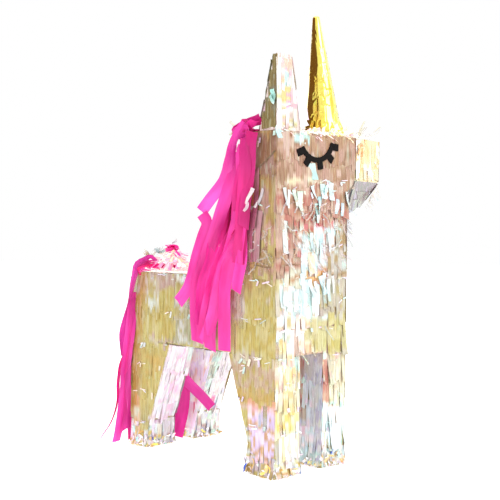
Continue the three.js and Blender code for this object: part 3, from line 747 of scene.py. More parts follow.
# rump, nape
R("fringe_rump", "shell", (0, L, BELLY), (1, 0, 0), (0, 0, 1), (0, 1, 0), 93, const(0, W), OLIVE, OLIVE_SH, 8,
  drop=-1.0, floor=over_front, scraps=0.12, **{**FLAT, "pitch": 44, "length": 52, "width": 5.5, "shine_at": 0.45})
nl = Vector((0, nape(TOP) - nape(BACK), TOP - BACK))
R("fringe_nape", "shell", (0, nape(BACK), BACK), (1, 0, 0), tuple(nl), tuple(Vector((0, nl.z, -nl.y))), nl.length, const(0, W), NECK, FRONTN_SH, 9,
  scraps=0.15, **{**LOOSE, "curl": 1.6})
# back: rows run across, tips to the rear
R("fringe_back_front", "shell", (0, 118, BACK), (1, 0, 0), (0, -1, 0), (0, 0, 1), 36, const(0, W), TOPP, TOPP_SH, 10,
  pitch=18, length=24, width=5, lift=0.8, curl=1.2, sway=1.0, floor=0.5, shine_at=0.3)
R("fringe_flap", "fill_flap", (0, 212, BACK), (1, 0, 0), (0, -1, 0), (0, 0, 1), 93, const(2, W - 12), TOPP, OLIVE_SH, 11,
  pitch=30, length=40, width=5.5, lift=0.6, curl=1.2, sway=0.8, floor=0.5, shine_at=0.3, wild=0.02, mix=0.05, twist=0.05, vary=0.03)
R("fringe_back_rear", "shell", (0, 271, BACK), (1, 0, 0), (0, -1, 0), (0, 0, 1), 58, const(0, W), TOPP, TOPP_SH, 12,
  pitch=20, length=30, width=5, lift=1.0, curl=2.0, sway=1.6, shine_at=0.3)
# belly
R("fringe_belly", "shell", (0, 268, BELLY), (1, 0, 0), (0, -1, 0), (0, 0, -1), 262, const(0, W), LAV, LAV_SH, 13,
  pitch=34, length=44, width=6, lift=0.8, curl=1.2, sway=0.8, floor=0.5,
  keep=lambda r, m: not ((r.x < 44 or r.x > 83) and (r.y < 79 or r.y > 189)))


# legs
def front_edge(z):
    return 42 + 35 * (z - 38) / 107.0 if z > 38 else 42 + 5 * (1 - z / 38.0)


def rear_edge(z):
    return 232 - 41 * (z - 38) / 107.0 if z > 38 else 232 + 6 * (1 - z / 38.0)


LEGH = 144.0
FLECKS = ((244, 242, 248), (226, 220, 240), (206, 160, 84), (246, 240, 228), (236, 206, 110), (216, 240, 240), (240, 214, 226), (90, 110, 170))
feet = dict(pitch=30, length=38, floor=1.0, wild=0.05, drop=-6.0, fluff=0.8, lift=0.7, curl=1.6, sway=1.0, mix=0.05, twist=0.07, vary=0.035, patch=22.0, width=6)
for i, (x0, side) in enumerate(((0.0, "right"), (85.0, "left"))):
    near = side == "right"
    outer = -1 if near else 1
    xo, xi = (x0, x0 + 42) if near else (x0 + 42, x0)
    fronts = (LEGY, LEGY_SH) if near else (LEGF, LEGF_SH)
    front_p = ((5, 42, 132, 152, HIGHLIGHT_CYANS, True), (14, 43, 84, 134, ((250, 226, 170), (252, 238, 206), (246, 206, 150), (250, 244, 236)), False), (0, 14, 84, 138, ((240, 190, 186), (250, 226, 214), (252, 244, 236)), False),
               (0, 43, 60, 86, ((252, 224, 130), (250, 210, 120), (252, 240, 190)), False), (0, 43, 14, 60, ((252, 250, 236), (250, 244, 200), (246, 250, 250)), True), (0, 43, 0, 14, FLECKS, False)) if near else (
               (96, 130, 84, 136, ((238, 232, 206), (246, 236, 214), (226, 206, 180)), False), (84, 98, 86, 138, ((206, 110, 110), (214, 140, 130)), False), (84, 132, 12, 84, HIGHLIGHT_CYANS, True), (84, 132, 0, 12, FLECKS, False))
    R("fringe_leg_front_" + side + "_front", "shell", (x0, 0, 0), (1, 0, 0), (0, 0, 1), (0, -1, 0), LEGH, const(0, 42), *fronts, 20 + i,
      patches=front_p, scraps=0.15, shine_at=0.5, **feet)
    outer_p = ((-4, 80, 104, 134, ((192, 158, 92), (202, 162, 146), (194, 148, 130), (186, 150, 92)), False), (-4, 80, 87, 106, ((196, 146, 66), (200, 156, 84), (206, 160, 110)), False), (-4, 60, 79, 87, ((214, 170, 160), (230, 200, 196)), False),
               (-4, 46, 22, 79, ((196, 186, 222), (186, 152, 84), (206, 198, 230), (220, 216, 232), (196, 164, 112), (200, 188, 226)), True), (-4, 60, 0, 24, ((206, 172, 120), (226, 200, 190), (216, 190, 206), (196, 150, 80), (240, 232, 240)), False)) if near else ()
    R("fringe_leg_front_" + side + "_outer", "shell", (xo, 0, 0), (0, 1, 0), (0, 0, 1), (outer, 0, 0), LEGH, lambda t: (0, front_edge(t)), OLIVE, OLIVE_SH, 22 + i,
      axis="y", patches=outer_p, scraps=0.2, **{**FLAT, "pitch": 34, "length": 42, "width": 5.5, "floor": 1.0, "drop": -8.0, "fluff": 0.9})
    R("fringe_leg_front_" + side + "_inner", "shell", (xi, 0, 0), (0, 1, 0), (0, 0, 1), (-outer, 0, 0), LEGH, lambda t: (0, front_edge(t)), LAV, LAV_SH, 24 + i,
      axis="y", shine_at=0.4, patches=((-2, 16, 20, 130, LAVS, False), (30, 42, 60, 134, ((206, 110, 120), (200, 160, 160)), False), (-2, 46, 0, 44, HIGHLIGHT_CYANS, True)) if not near else ((-2, 46, 0, 30, LAVS, False),), **feet)
    # slanted rear face of a front leg, above and below the ankle
    a, b = Vector((0, 42, 38)), Vector((0, 77, 145))
    d = b - a
    R("fringe_leg_front_" + side + "_back", "shell", (x0, a.y, a.z), (1, 0, 0), tuple(d), (0, d.z, -d.y), d.length, const(0, 42), LAV, LAV_SH, 26 + i,
      width=6, lift=0.6, curl=1.2, sway=0.8, mix=0.05, twist=0.07, vary=0.035, shine_at=0.4, pitch=30, length=40)
    a, b = Vector((0, 47, 0)), Vector((0, 42, 38))
    d = b - a
    R("fringe_leg_front_" + side + "_heel", "shell", (x0, a.y, a.z), (1, 0, 0), tuple(d), (0, d.z, -d.y), d.length, const(0, 42), WHITE, WHITE_SH, 28 + i,
      width=6, lift=0.8, curl=1.6, sway=1.0, shine_at=0.3, pitch=18, length=28, floor=1.0, drop=-6.0)
    # rear leg
    rf = (WHITE, WHITE_SH) if near else (LAV, LAV_SH)
    a, b = Vector((0, 232, 38)), Vector((0, 191, 145))
    d = b - a
    R("fringe_leg_rear_" + side + "_front", "shell", (x0, a.y, a.z), (1, 0, 0), tuple(d), (0, -d.z, d.y), d.length, const(0, 42), *rf, 30 + i,
      width=6, lift=0.7, curl=1.2, sway=0.9, mix=0.06, twist=0.08, vary=0.035, shine_at=0.3, pitch=30, length=40, patch=16.0,
      patches=((0, 10, 38, 145, ((244, 250, 252), (250, 250, 252), (230, 240, 246)), True), (4, 40, 40, 140, ((246, 234, 246), (240, 244, 250), (230, 214, 226), (226, 240, 236), (238, 206, 226)), True)) if near else
              ((100, 128, 60, 140, ((242, 222, 238), (236, 214, 232), (248, 236, 246)), False), (86, 104, 60, 134, ((206, 232, 222), (226, 240, 238), (196, 180, 176), (190, 196, 206)), False)))
    a, b = Vector((0, 238, 0)), Vector((0, 232, 38))
    d = b - a
    R("fringe_leg_rear_" + side + "_toe", "shell", (x0, a.y, a.z), (1, 0, 0), tuple(d), (0, -d.z, d.y), d.length, const(0, 42), *rf, 32 + i,
      width=6, lift=0.8, curl=1.8, sway=1.2, shine_at=0.3, pitch=18, length=28, floor=1.0, drop=-6.0, patches=((0, 42, 0, 14, FLECKS, False),) if near else ((85, 128, 0, 38, ((214, 232, 222), (206, 160, 170), (236, 240, 240), (226, 214, 230)), False),))
    R("fringe_leg_rear_" + side + "_outer", "shell", (xo, 0, 0), (0, 1, 0), (0, 0, 1), (outer, 0, 0), LEGH, lambda t: (rear_edge(t), L), OLIVE, OLIVE_SH, 34 + i,
      axis="y", scraps=0.15, patches=((200, 240, 84, 130, ((206, 160, 80), (200, 170, 92), (214, 176, 110)), False), (252, 274, 22, 52, ((236, 244, 246), (206, 226, 190), (214, 190, 130)), True), (230, 272, 0, 22, FLECKS, False),
                                      (190, 274, 52, 144, ((198, 166, 84), (204, 176, 104), (192, 156, 78)), False)),
      **{**FLAT, "pitch": 40, "length": 48, "width": 5.5, "floor": 1.0, "drop": -4.0, "fluff": 0.9})
    R("fringe_leg_rear_" + side + "_inner", "shell", (xi, 0, 0), (0, 1, 0), (0, 0, 1), (-outer, 0, 0), LEGH, lambda t: (rear_edge(t), L), WHITE, LAV_SH, 36 + i,
      axis="y", shine_at=0.0, patches=((180, 274, 60, 150, ((236, 232, 246), (226, 220, 240), (240, 236, 232), (222, 190, 186)), False),), **feet)
    R("fringe_leg_rear_" + side + "_back", "shell", (x0, L, 0), (1, 0, 0), (0, 0, 1), (0, 1, 0), LEGH, const(0, 42), OLIVE, OLIVE_SH, 38 + i,
      shine_at=0.45, **feet)


def facet(name, body, points, inside, base, shine, seed, **kw):
    """A flat, convex face given by its corners; inside is a point on the solid's inner side."""
    pts = [Vector(p) for p in points]
    n = (pts[1] - pts[0]).cross(pts[2] - pts[0]).normalized()
    if (Vector(inside) - pts[0]).dot(n) > 0:
        n = -n
    ref = Vector((0, 0, 1)) if abs(n.z) < 0.9 else Vector((0, -1, 0))
    h = (ref - n * ref.dot(n)).normalized()
    s_ = h.cross(n)
    low = min(pts, key=lambda p: p.dot(h))
    flat = [((p - low).dot(s_), (p - low).dot(h)) for p in pts]
    height = max(t for _, t in flat)

    def span(t):
        t = min(max(t, 0.01), height - 0.01)
        xs = []
        for (x0, t0), (x1, t1) in zip(flat, flat[1:] + flat[:1]):
            if (t0 - t) * (t1 - t) <= 0 and t0 != t1:
                xs.append(x0 + (x1 - x0) * (t - t0) / (t1 - t0))
        return (min(xs), max(xs)) if xs else (0.0, 0.0)

    R(name, body, tuple(low), tuple(s_), tuple(h), tuple(n), height, span, base, shine, seed, **kw)


MID = (165, 30, 380)
SNUG = {**FLAT, "pitch": 24, "length": 32, "width": 7, "lift": 0.35, "curl": 0.5, "floor": 0.2, "offset": 1.0, "patch": 20.0, "mix": 0.05, "vary": 0.03, "drop": -2.0}
for sign, l0, l1, l2, l3, tag in ((0, 0, 14, 17, 9, "front"), (1, 60, 46, 43, 51, "rear")):
    facet("fringe_muzzle_" + tag, "shell", [(146, l0, 415), (209, l1, 415), (209, l1, 361), (146, l0, 362)], MID, MUZ, MUZ_SH, 60 + sign,
          patches=((146, 153, 360, 416, ((252, 252, 250), (236, 250, 250)), True), (153, 178, 403, 413, ((244, 176, 84), (250, 206, 130)), False)), **SNUG)
    facet("fringe_jaw_side_" + tag, "shell", [(146, l0, 362), (209, l1, 360), (172, l2, 327)], MID, JAW, JAW_SH, 62 + sign, **SNUG)
    facet("fringe_jaw_throat_" + tag, "shell", [(127.3, l0, 349), (146, l0, 362), (172, l2, 327), (127.3, l3, 316)], MID, JAW, JAW_SH, 64 + sign, **SNUG)
facet("fringe_nose", "shell", [(209, 14, 360), (209, 46, 360), (209, 46, 415), (209, 14, 415)], MID, MUZ, MUZ_SH, 66, **SNUG)
facet("fringe_chin", "shell", [(209, 14, 360), (209, 46, 360), (172, 43, 327), (172, 17, 327)], MID, JAW, JAW_SH, 67, **SNUG)
facet("fringe_throat", "shell", [(127.3, 9, 316), (127.3, 51, 316), (172, 43, 327), (172, 17, 327)], MID, JAW, JAW_SH, 68, **SNUG)
facet("fringe_muzzle_top", "shell", [(146, 0, 415), (209, 14, 415), (209, 46, 415), (146, 60, 415)], MID, TOPP, TOPP_SH, 69,
      pitch=15, length=20, width=5, lift=0.7, curl=1.6, sway=1.6, shine_at=0.1, wild=0.1, floor=-2.0)
for ex, ey, tag in ((0, 0, "near"), (28, 29.5, "far")):
    mid = (ex + 16, ey + 8, 440)
    efp = ((ex - 4, ex + 7, 416, 505, ((252, 252, 250), (246, 248, 240), (252, 246, 236)), True), (ex + 6, ex + 25, 488, 505, ((246, 186, 210), (244, 206, 190), (250, 226, 170)), False), (ex + 5, ex + 18, 462, 484, ((206, 244, 244), (246, 240, 246)), True),
           (ex + 16, ex + 36, 440, 488, ((240, 176, 206), (232, 196, 214), (250, 240, 244)), False), (ex + 5, ex + 16, 440, 462, ((236, 214, 150), (246, 230, 200)), False))
    facet("fringe_ear_%s_front" % tag, "shell", [(ex, ey, 416), (ex + 40, ey, 416), (ex + 23, ey, 503), (ex - 2, ey, 504)], mid, EARF, EARF_SH, 70 + ex,
          pitch=26, length=36, width=6.5, lift=0.5, curl=0.8, sway=0.8, mix=0.05, twist=0.05, vary=0.03, shine_at=0.25, patch=14.0, floor=0.5, patches=efp)
    facet("fringe_ear_%s_side" % tag, "shell", [(ex, ey, 416), (ex, ey + 29, 416), (ex - 2, ey + 5, 504), (ex - 2, ey, 504)], mid, EARS, EARS_SH, 71 + ex,
          axis="y", **{**FLAT, "pitch": 16, "length": 24, "width": 5, "shine_at": 0.8, "offset": 0.3, "odd": 0.0, "floor": 0.3})
    facet("fringe_ear_%s_inner" % tag, "shell", [(ex + 40, ey, 416), (ex + 40, ey + 29, 416), (ex + 23, ey + 5, 503), (ex + 23, ey, 503)], mid, EARF, EARF_SH, 72 + ex,
          axis="y", pitch=26, length=36, width=5.5, lift=0.4, curl=0.8, sway=0.6, mix=0.05, vary=0.03, twist=0.05, shine_at=0.3, floor=0.5)
    facet("fringe_ear_%s_back" % tag, "shell", [(ex, ey + 29, 416), (ex + 40, ey + 29, 416), (ex + 23, ey + 5, 503), (ex - 2, ey + 5, 504)], mid, EARS, NECK_SH, 73 + ex,
          **{**FLAT, "pitch": 18, "length": 28, "width": 5.5, "floor": 0.5, "shine_at": 0.5})
# the crown round the ears and horn: rows across, tips to the front
R("fringe_crown", "shell", (0, 0, TOP), (1, 0, 0), (0, 1, 0), (0, 0, 1), 60, const(44, 146), TOPP, TOPP_SH, 80,
  pitch=13, length=20, width=4.5, lift=1.0, curl=2.2, sway=2.2, shine_at=0.0, wild=0.15, drop=8.0,
  keep=lambda r, m: (Vector((m.x - 121, m.y - 33)).length > 30) and not (26 < m.x < 72 and 27 < m.y < 60))

groups = {}
for r in regions:
    if r.name == "fringe_leg_rear_left_inner":
        key = r.name
    elif r.name.startswith("fringe_leg_"):
        key = "_".join(r.name.split("_")[:4])
    elif r.name in ("fringe_neck_front", "fringe_face", "fringe_chest"):
        key = "fringe_front"
    elif r.name == "fringe_muzzle_top":
        key = "fringe_crown"
    elif r.name.startswith(("fringe_muzzle", "fringe_jaw", "fringe_nose", "fringe_chin", "fringe_throat")):
        key = "fringe_muzzle"
    elif r.name.startswith("fringe_ear_"):
        key = "_".join(r.name.split("_")[:3])
    else:
        key = r.name
    g = groups.setdefault(key, (r.body, Strips(), Strips(), Strips()))
    fringe(r, g[1], g[2], g[3])
for key, (body, opaque, bright, clear) in groups.items():
    # these groups take the glowing film: painted light
    glowing_group = key.startswith(("fringe_back", "fringe_flap", "fringe_crown", "fringe_leg_rear_left_inner"))
    for suffix, strips, mat in (("", opaque, FILM), ("_shine", bright, FILM_HIGHLIGHT), ("_clear", clear, FILM_CLEAR)):
        if strips.v:
            o = strips.build(key + suffix, FILM_GLOW if glowing_group else mat)
            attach(o, body)



# ---------------------------------------------------------------------------------------------------- streamers
def smooth_path(path, step=4.0):
    pts = [Vector(p) for p in path]
    ext = [pts[0] * 2 - pts[1]] + pts + [pts[-1] * 2 - pts[-2]]
    out = []
    for i in range(1, len(ext) - 2):
        p0, p1, p2, p3 = ext[i - 1:i + 3]
        n = max(2, int((p2 - p1).length / step))
        for j in range(n):
            a = j / n
            out.append(0.5 * ((2 * p1) + (p2 - p0) * a + (2 * p0 - 5 * p1 + 4 * p2 - p3) * a * a + (3 * p1 - p0 - 3 * p2 + p3) * a ** 3))
    out.append(pts[-1])
    return out


def free_of_neck(p, gap):
    """Keeps a streamer outside the neck and body, which it lies against."""
    p = p.copy()
    if p.z < TOP + 1 and p.y < nape(max(p.z, BACK)) + 1.0 and -gap < p.x < 30 and p.z > BACK:
        p.x = -gap
    if p.z < BACK + 2 and 0 < p.y < L and -gap < p.x < 30 and p.z > BELLY:
        p.x = -gap
    return p


STREAMER_COUNT = [0]
LINES = []


def streamer(name, path, seed, width=16.0, tint=(1, 1, 1), facing=(-0.80, -0.60, 0.0), roll=0.0, turn=0.5, mat=None,
             cup=1.4, taper=0.0, clamp=True, bands=0.10, end_cut=0.25, edge_on=None):
    """One cut strip of streamer along a path: cupped, creased and slowly turning."""
    rng = random.Random(seed * 131 + 7)
    line = smooth_path(path)
    ph = [rng.uniform(0, 6.28) for _ in range(6)]
    total = sum((b - a).length for a, b in zip(line, line[1:]))
    m = 6
    strips = Strips()
    rows, cols, uvs = [], [], []
    run = 0.0
    f = Vector(facing).normalized()
    keep_side = None
    cut = rng.uniform(-end_cut, end_cut) * width
    for i, p in enumerate(line):
        if i:
            run += (p - line[i - 1]).length
        a = run / total
        t = (line[min(i + 1, len(line) - 1)] - line[max(i - 1, 0)]).normalized()
        side = t.cross(f)
        if side.length < 0.2 and keep_side is not None:
            side = keep_side
        side = side.normalized()
        if keep_side is not None and side.dot(keep_side) < 0:
            side = -side
        keep_side = side
        nrm = side.cross(t).normalized()
        ang = roll + turn * math.sin(run / 46.0 + ph[0]) * 0.6 + 0.12 * math.sin(run / 15.0 + ph[1])
        if edge_on:
            ang += 1.25 * math.exp(-((a - edge_on[0]) / edge_on[1]) ** 2)
        sd = side * math.cos(ang) + nrm * math.sin(ang)
        nn = sd.cross(t).normalized()
        half = width / 2 * (1 - taper * a)
        row, uvr = [], []
        for j in range(m):
            x = -1 + 2 * j / (m - 1)
            c = cup * (x * x - 0.4) * math.sin(run / 38.0 + ph[2]) + 0.35 * math.sin(x * 4 + run / 9.0 + ph[3]) + 0.25 * math.sin(x * 7 - run / 6.0 + ph[4])
            q = p + sd * (x * half) + nn * c
            if i == len(line) - 1:
                q = q + t * (cut * x)
            row.append(q)
            uvr.append(((x * half + seed * 31) / 1000.0, run / 1000.0))
        rows.append(row)
        uvs.append(uvr)
        # lengthwise bands of lighter and darker tint along the strip: painted sheen
        b = 1.0 + bands * math.sin(run / 30.0 + ph[5]) + 0.05 * math.sin(run / 11.0 + ph[1])
        if clamp:
            high = max(0.0, min(1.0, (p.z - 350) / 45))
            b *= 1 - 0.20 * high
        cols.append([tint[0] * b, tint[1] * b * (1 - (0.3 * high if clamp else 0)), tint[2] * b])
    if clamp:  # whole rows are moved clear of the neck, so the strip keeps its width
        gap = 2.3 + (seed * 5 % 13) * 0.5
        need = [min(0.0, min(free_of_neck(q, gap).x - q.x for q in row)) for row in rows]
        need = [min(need[max(0, i - 2):i + 3]) for i in range(len(need))]
        need = [sum(need[max(0, i - 2):i + 3]) / len(need[max(0, i - 2):i + 3]) for i in range(len(need))]
        rows = [[q + Vector((d, 0, 0)) for q in row] for row, d in zip(rows, need)]
    rows = [[P(q.x, q.y, max(q.z, 0.5)) for q in row] for row in rows]
    strips.strip(rows, cols, uvs)
    o = strips.build(name, mat or STREAMER)
    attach(o, "shell")
    if True:
        LINES.append((name, width / 1000.0, round(total / 1000.0, 3)))
    return o


# Per-streamer tints of the one pink: the lighter ones stand in for light falling on a streamer (painted highlight),
# the darkest one for shade on streamers lying behind (painted shade).
BRIGHT, MIDDLE, SHADED_TINT, PALE = (0.98, 1.1, 0.98), (0.84, 1.05, 0.92), (0.68, 0.40, 0.52), (1.0, 1.9, 1.15)
MANE = [
    ("a_up", [(9, 43, 424), (5, 50, 413), (0, 60, 396), (-5, 65, 379), (-10, 81, 355), (-14, 99, 335), (-17, 113, 319)], 15, (1.0, 1.7, 1.15), 0.2),
    ("a_down", [(-18, 111, 316), (-14, 106, 304), (-13, 115, 287), (-14, 125, 260), (-15, 131, 238), (-16, 139, 221), (-17, 156, 203)], 15, MIDDLE, 0.1),
    ("b", [(7, 48, 409), (-5, 65, 365), (-9, 80, 330), (-10, 93, 299), (-10, 107, 271), (-10, 120, 244), (-10, 129, 214), (-10, 129, 185), (-10, 126, 154)], 16, MIDDLE, 0.0),
    ("b2", [(-5, 89, 318), (-7, 100, 285), (-7, 106, 255), (-7, 115, 226), (-7, 117, 196), (-7, 118, 177)], 15, (0.86, 0.66, 0.85), 0.1),
    ("c", [(4, 44, 392), (-4, 53, 349), (-8, 64, 318), (-12, 71, 287), (-13, 84, 258), (-13, 97, 227), (-13, 107, 197), (-13, 115, 159)], 14, BRIGHT, 0.2),
    ("d", [(5, 43, 403), (-3, 48, 384), (-9, 48, 345), (-12, 47, 307), (-13, 50, 278), (-13, 52, 256)], 14, BRIGHT, -0.1),
    ("d2", [(5, 37, 405), (-2, 37, 378), (-5, 40, 355), (-6, 45, 322), (-7, 46, 295), (-8, 50, 268), (-9, 51, 256)], 15, SHADED_TINT, 0.2),
    ("f", [(3, 44, 384), (-5, 54, 326), (-9, 55, 291), (-11, 65, 262), (-11, 75, 228), (-11, 76, 189), (-11, 76, 148)], 16, BRIGHT, 0.0),
    ("g", [(-8, 54, 306), (-12, 60, 290), (-14, 65, 272), (-15, 76, 250), (-15, 84, 224), (-15, 93, 190), (-15, 109, 156)], 15, (1.0, 1.25, 1.05), 0.25),
    ("h", [(-4, 51, 318), (-6, 64, 272), (-7, 85, 232), (-7, 95, 198), (-7, 100, 167), (-7, 100, 147)], 15, MIDDLE, 0.0),
    ("k", [(-8, 50, 300), (-10, 48, 262), (-11, 52, 241), (-12, 55, 222)], 14, (0.96, 1.3, 1.05), -0.3),
    ("n", [(1, 31, 414), (-3, 33, 393), (-5, 36, 364), (-5, 40, 330), (-5, 43, 300)], 14, SHADED_TINT, 0.1),
]
for i, (tag, path, wd, tint, roll) in enumerate(MANE):
    streamer("mane_" + tag, path, 100 + i, width=wd, tint=tint, roll=roll, turn=0.35, edge_on={"c": (0.36, 0.13), "g": (0.0, 0.2), "b2": (0.0, 0.2)}.get(tag))
BOW = [
    ("bow_left", [(6, 33, 431), (9, 46, 428), (12, 57, 422), (12, 66, 412), (10, 73, 404), (6, 76, 393)], 13, (0.95, 0.7, 0.8), 0.5),
    ("bow_low", [(3, 36, 417), (8, 54, 417), (10, 69, 408), (6, 73, 397)], 12, (1.0, 1.3, 1.1), 0.2),
    ("bow_top", [(3, 29, 427), (8, 41, 421), (12, 53, 427), (10, 56, 419), (3, 38, 418)], 12, (0.9, 0.55, 0.7), 0.4),
]
for i, (tag, path, wd, tint, roll) in enumerate(BOW):
    streamer("mane_" + tag, path, 130 + i, width=wd, tint=tint, roll=roll, turn=0.6, clamp=True)
rng = random.Random(501)
for i in range(7):
    x = 3.5 + i * 3.1
    d0 = rng.uniform(4, 11)
    path = [(x * 0.8 + 3, 50 + rng.uniform(-4, 4), 419 + rng.uniform(0, 4)), (x, nape(400) + 5, 402), (x + rng.uniform(-2, 2), nape(360) + d0, 360),
            (x + rng.uniform(-3, 3), nape(310) + d0 + 4, 310), (x + rng.uniform(-4, 4), nape(270) + d0 + 7, 270), (x + rng.uniform(-4, 4), nape(250) + d0 + 12 + i % 3 * 5, 248 + (i % 2) * 8)]
    streamer("mane_nape_%d" % (i + 1), path, 140 + i, width=15, tint=(BRIGHT, MIDDLE, SHADED_TINT)[i % 3], facing=(0.1, 1, 0.1), roll=rng.uniform(-0.3, 0.3), turn=0.4, clamp=False)

TAIL = [
    ("corner_long", [(30, 255, 250), (20, 257, 257), (12, 260, 253), (-2, 259, 247), (-7, 257, 234), (-9, 259, 220), (-10, 268, 187), (-10, 280, 157), (-10, 281, 137), (-10, 277, 122)], 13, (0.82, 1.3, 1.1), 1.05, (-0.8, -0.6, 0)),
    ("corner_wisp", [(-10, 277, 124), (-12, 283, 105), (-12, 286, 84), (-12, 286, 64), (-14, 292, 40), (-16, 302, 22), (-20, 316, 3)], 10, (0.9, 0.5, 0.7), 1.5, (-0.8, -0.6, 0)),
    ("corner_wide", [(-6, 264, 200), (-8, 266, 158), (-9, 270, 133), (-10, 273, 106), (-11, 274, 75), (-12, 280, 34), (-12, 290, 2)], 14, (0.90, 1.5, 1.12), 0.70, (-0.8, -0.6, 0)),
    ("corner_inner", [(-3, 263, 210), (-4, 266, 160), (-5, 271, 127), (-6, 273, 96), (-6, 274, 54), (-6, 277, 20)], 13, (0.92, 1.2, 1.05), 0.95, (-0.8, -0.6, 0)),
    ("behind_leg", [(58, 242, 128), (58, 238, 108), (58, 233, 93), (58, 230, 68), (58, 233, 41), (58, 244, 6)], 18, (0.95, 0.8, 0.95), 0.0, (-0.8, -0.6, 0)),
    ("across", [(44.5, 236, 118), (47, 221, 97), (58, 216, 82), (72, 208, 66), (84, 200, 50)], 14, MIDDLE, 0.0, (-0.6, -0.8, 0)),
    ("bow_band", [(-2, 257, 241), (5, 252, 243), (14, 250, 243), (24, 247, 248), (40, 243, 256), (50, 232, 263)], 11, (1.0, 1.4, 1.1), 0.5, (-0.7, -0.7, 0.5)),
    ("bow_red", [(-4, 254, 238), (4, 253, 240), (12, 251, 242), (20, 250, 243)], 11, (0.95, 0.6, 0.5), 0.0, (-0.7, -0.7, 0.2)),
]
for i, (tag, path, wd, tint, roll, facing) in enumerate(TAIL):
    streamer("tail_" + tag, path, 160 + i, width=wd, tint=tint, roll=roll, turn=0.35, facing=facing, clamp=False, taper=0.75 if tag == "corner_wisp" else 0.0)
for i in range(8):
    x = 8 + i * 10.8
    path = [(45 + (x - 45) * 0.55, 252, 244 + rng.uniform(0, 4)), (45 + (x - 45) * 0.8, 268, 244), (x, 275 + rng.uniform(0, 3), 228), (x + rng.uniform(-4, 4), 276 + rng.uniform(0, 4), 170),
            (x + rng.uniform(-5, 5), 276 + rng.uniform(0, 5), 110), (x + rng.uniform(-5, 5), 277 + rng.uniform(0, 5), 55), (x + rng.uniform(-5, 5), 277 + rng.uniform(0, 5), 6 + (i * 37) % 60)]
    streamer("tail_rump_%d" % (i + 1), path, 180 + i, width=16, tint=(BRIGHT, MIDDLE, PALE, SHADED_TINT)[i % 4] if i % 4 != 2 else (1.0, 1.3, 1.1), facing=(0.05, 1, 0.05), roll=rng.uniform(-0.25, 0.25), turn=0.35, clamp=False)
# the small gathered ball on the back: three turns of streamer
for i in range(3):
    path = []
    for j in range(9):
        a = j / 8 * 2 * math.pi + i * 2.1
        tilt = i * 1.05
        v = Vector((math.cos(a) * 6.2, math.sin(a) * 6.2 * math.cos(tilt), math.sin(a) * 6.2 * math.sin(tilt)))
        path.append(tuple(Vector((62, 262, 269)) + v))
    streamer("tail_ball_%d" % (i + 1), path, 200 + i, width=10, tint=((1, 1.3, 1.15), (0.9, 0.8, 1.0), (1, 1.7, 1.2))[i], facing=(0.3, 0.3, 1), turn=0.5, clamp=False)

objs = [o for o in scene.objects if o.name.startswith("mane_") and o.type == "MESH" and o.name not in NODES]
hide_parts("mane_knot")
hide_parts("mane_streamers_side")
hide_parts("mane_streamers_nape")
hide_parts("tail_rosette")
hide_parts("tail_streamers_rump")
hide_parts("tail_streamers_corner")


# ---------------------------------------------------------------------------------------------------- loose film
def loose(name, spots, mat, body="shell"):
    """Loose tabs of film: each spot is (root, direction, outward, length, width, colour, curl)."""
    st = Strips()
    rg = random.Random(len(name) * 97 + len(spots))
    for root, d, out, ln, wd, col, curl in spots:
        root, d, out = Vector(root), Vector(d).normalized(), Vector(out)
        out = (out - d * out.dot(d)).normalized()
        sd = d.cross(out)
        ph = rg.uniform(0, 6.28)
        tw = rg.gauss(0, 0.4)
        c = lin(col)
        rows, cols, uvs = [], [], []
        u = rg.random() * 3
        for i in range(7):
            a = i / 6
            p = root + d * ln * (a - 0.12 * a * a * abs(curl) / max(ln, 1)) + out * (0.4 + curl * a * a + 0.5 * math.sin(ph + a * 6))
            s2 = sd * math.cos(tw * a) + out * math.sin(tw * a)
            p = p + sd * 1.2 * math.sin(ph + a * 4)
            hw = wd / 2 if wd > 0 else -wd / 2 * (1 - 0.5 * a)
            ends = [p - s2 * hw, p + s2 * hw]
            for e in ends:
                e.z = max(e.z, 0.5)
            rows.append((P(*ends[0]), P(*ends[1])))
            k = 0.92 + 0.1 * math.sin(ph + a * 5)
            cols.append([v * k for v in c])
            uvs.append(((u, ln * a / 1000 + u), (u + abs(wd) / 1000, ln * a / 1000 + u)))
        st.strip(rows, cols, uvs)
    o = st.build(name, mat)
    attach(o, body)
    return o


rng = random.Random(909)
# the puff over the rump, with pale tufts on it
spots = []
for ring in range(3):
    for i in range(64):
        ang = (i + 0.33 * ring) / 64 * 2 * math.pi + rng.gauss(0, 0.16)
        r0 = (2, 11, 20)[ring] + rng.uniform(-2, 2)
        z0 = (262, 257, 250)[ring] + rng.uniform(-2, 3)
        c, sn = math.cos(ang), math.sin(ang)
        slope = (-0.35, -0.6, -0.8)[ring] + rng.gauss(0, 0.3)
        f = field(c * 20, sn * 20, ring * 9.0, 9.0, 61)
        cols_ = ((253, 240, 246), (252, 246, 236), (250, 234, 200)) if f > 0.12 else (((251, 190, 224), (246, 214, 228), (253, 240, 246)) if f > -0.2 else ((250, 160, 206), (240, 140, 190), (252, 220, 232)))
        spots.append(((50 + r0 * c, 245 + r0 * sn, z0), (c, sn, slope), (0.35 * c, 0.35 * sn, 1), rng.uniform(15, 22), rng.uniform(2.5, 5), rng.choice(cols_), rng.uniform(-2.0, 1.0)))
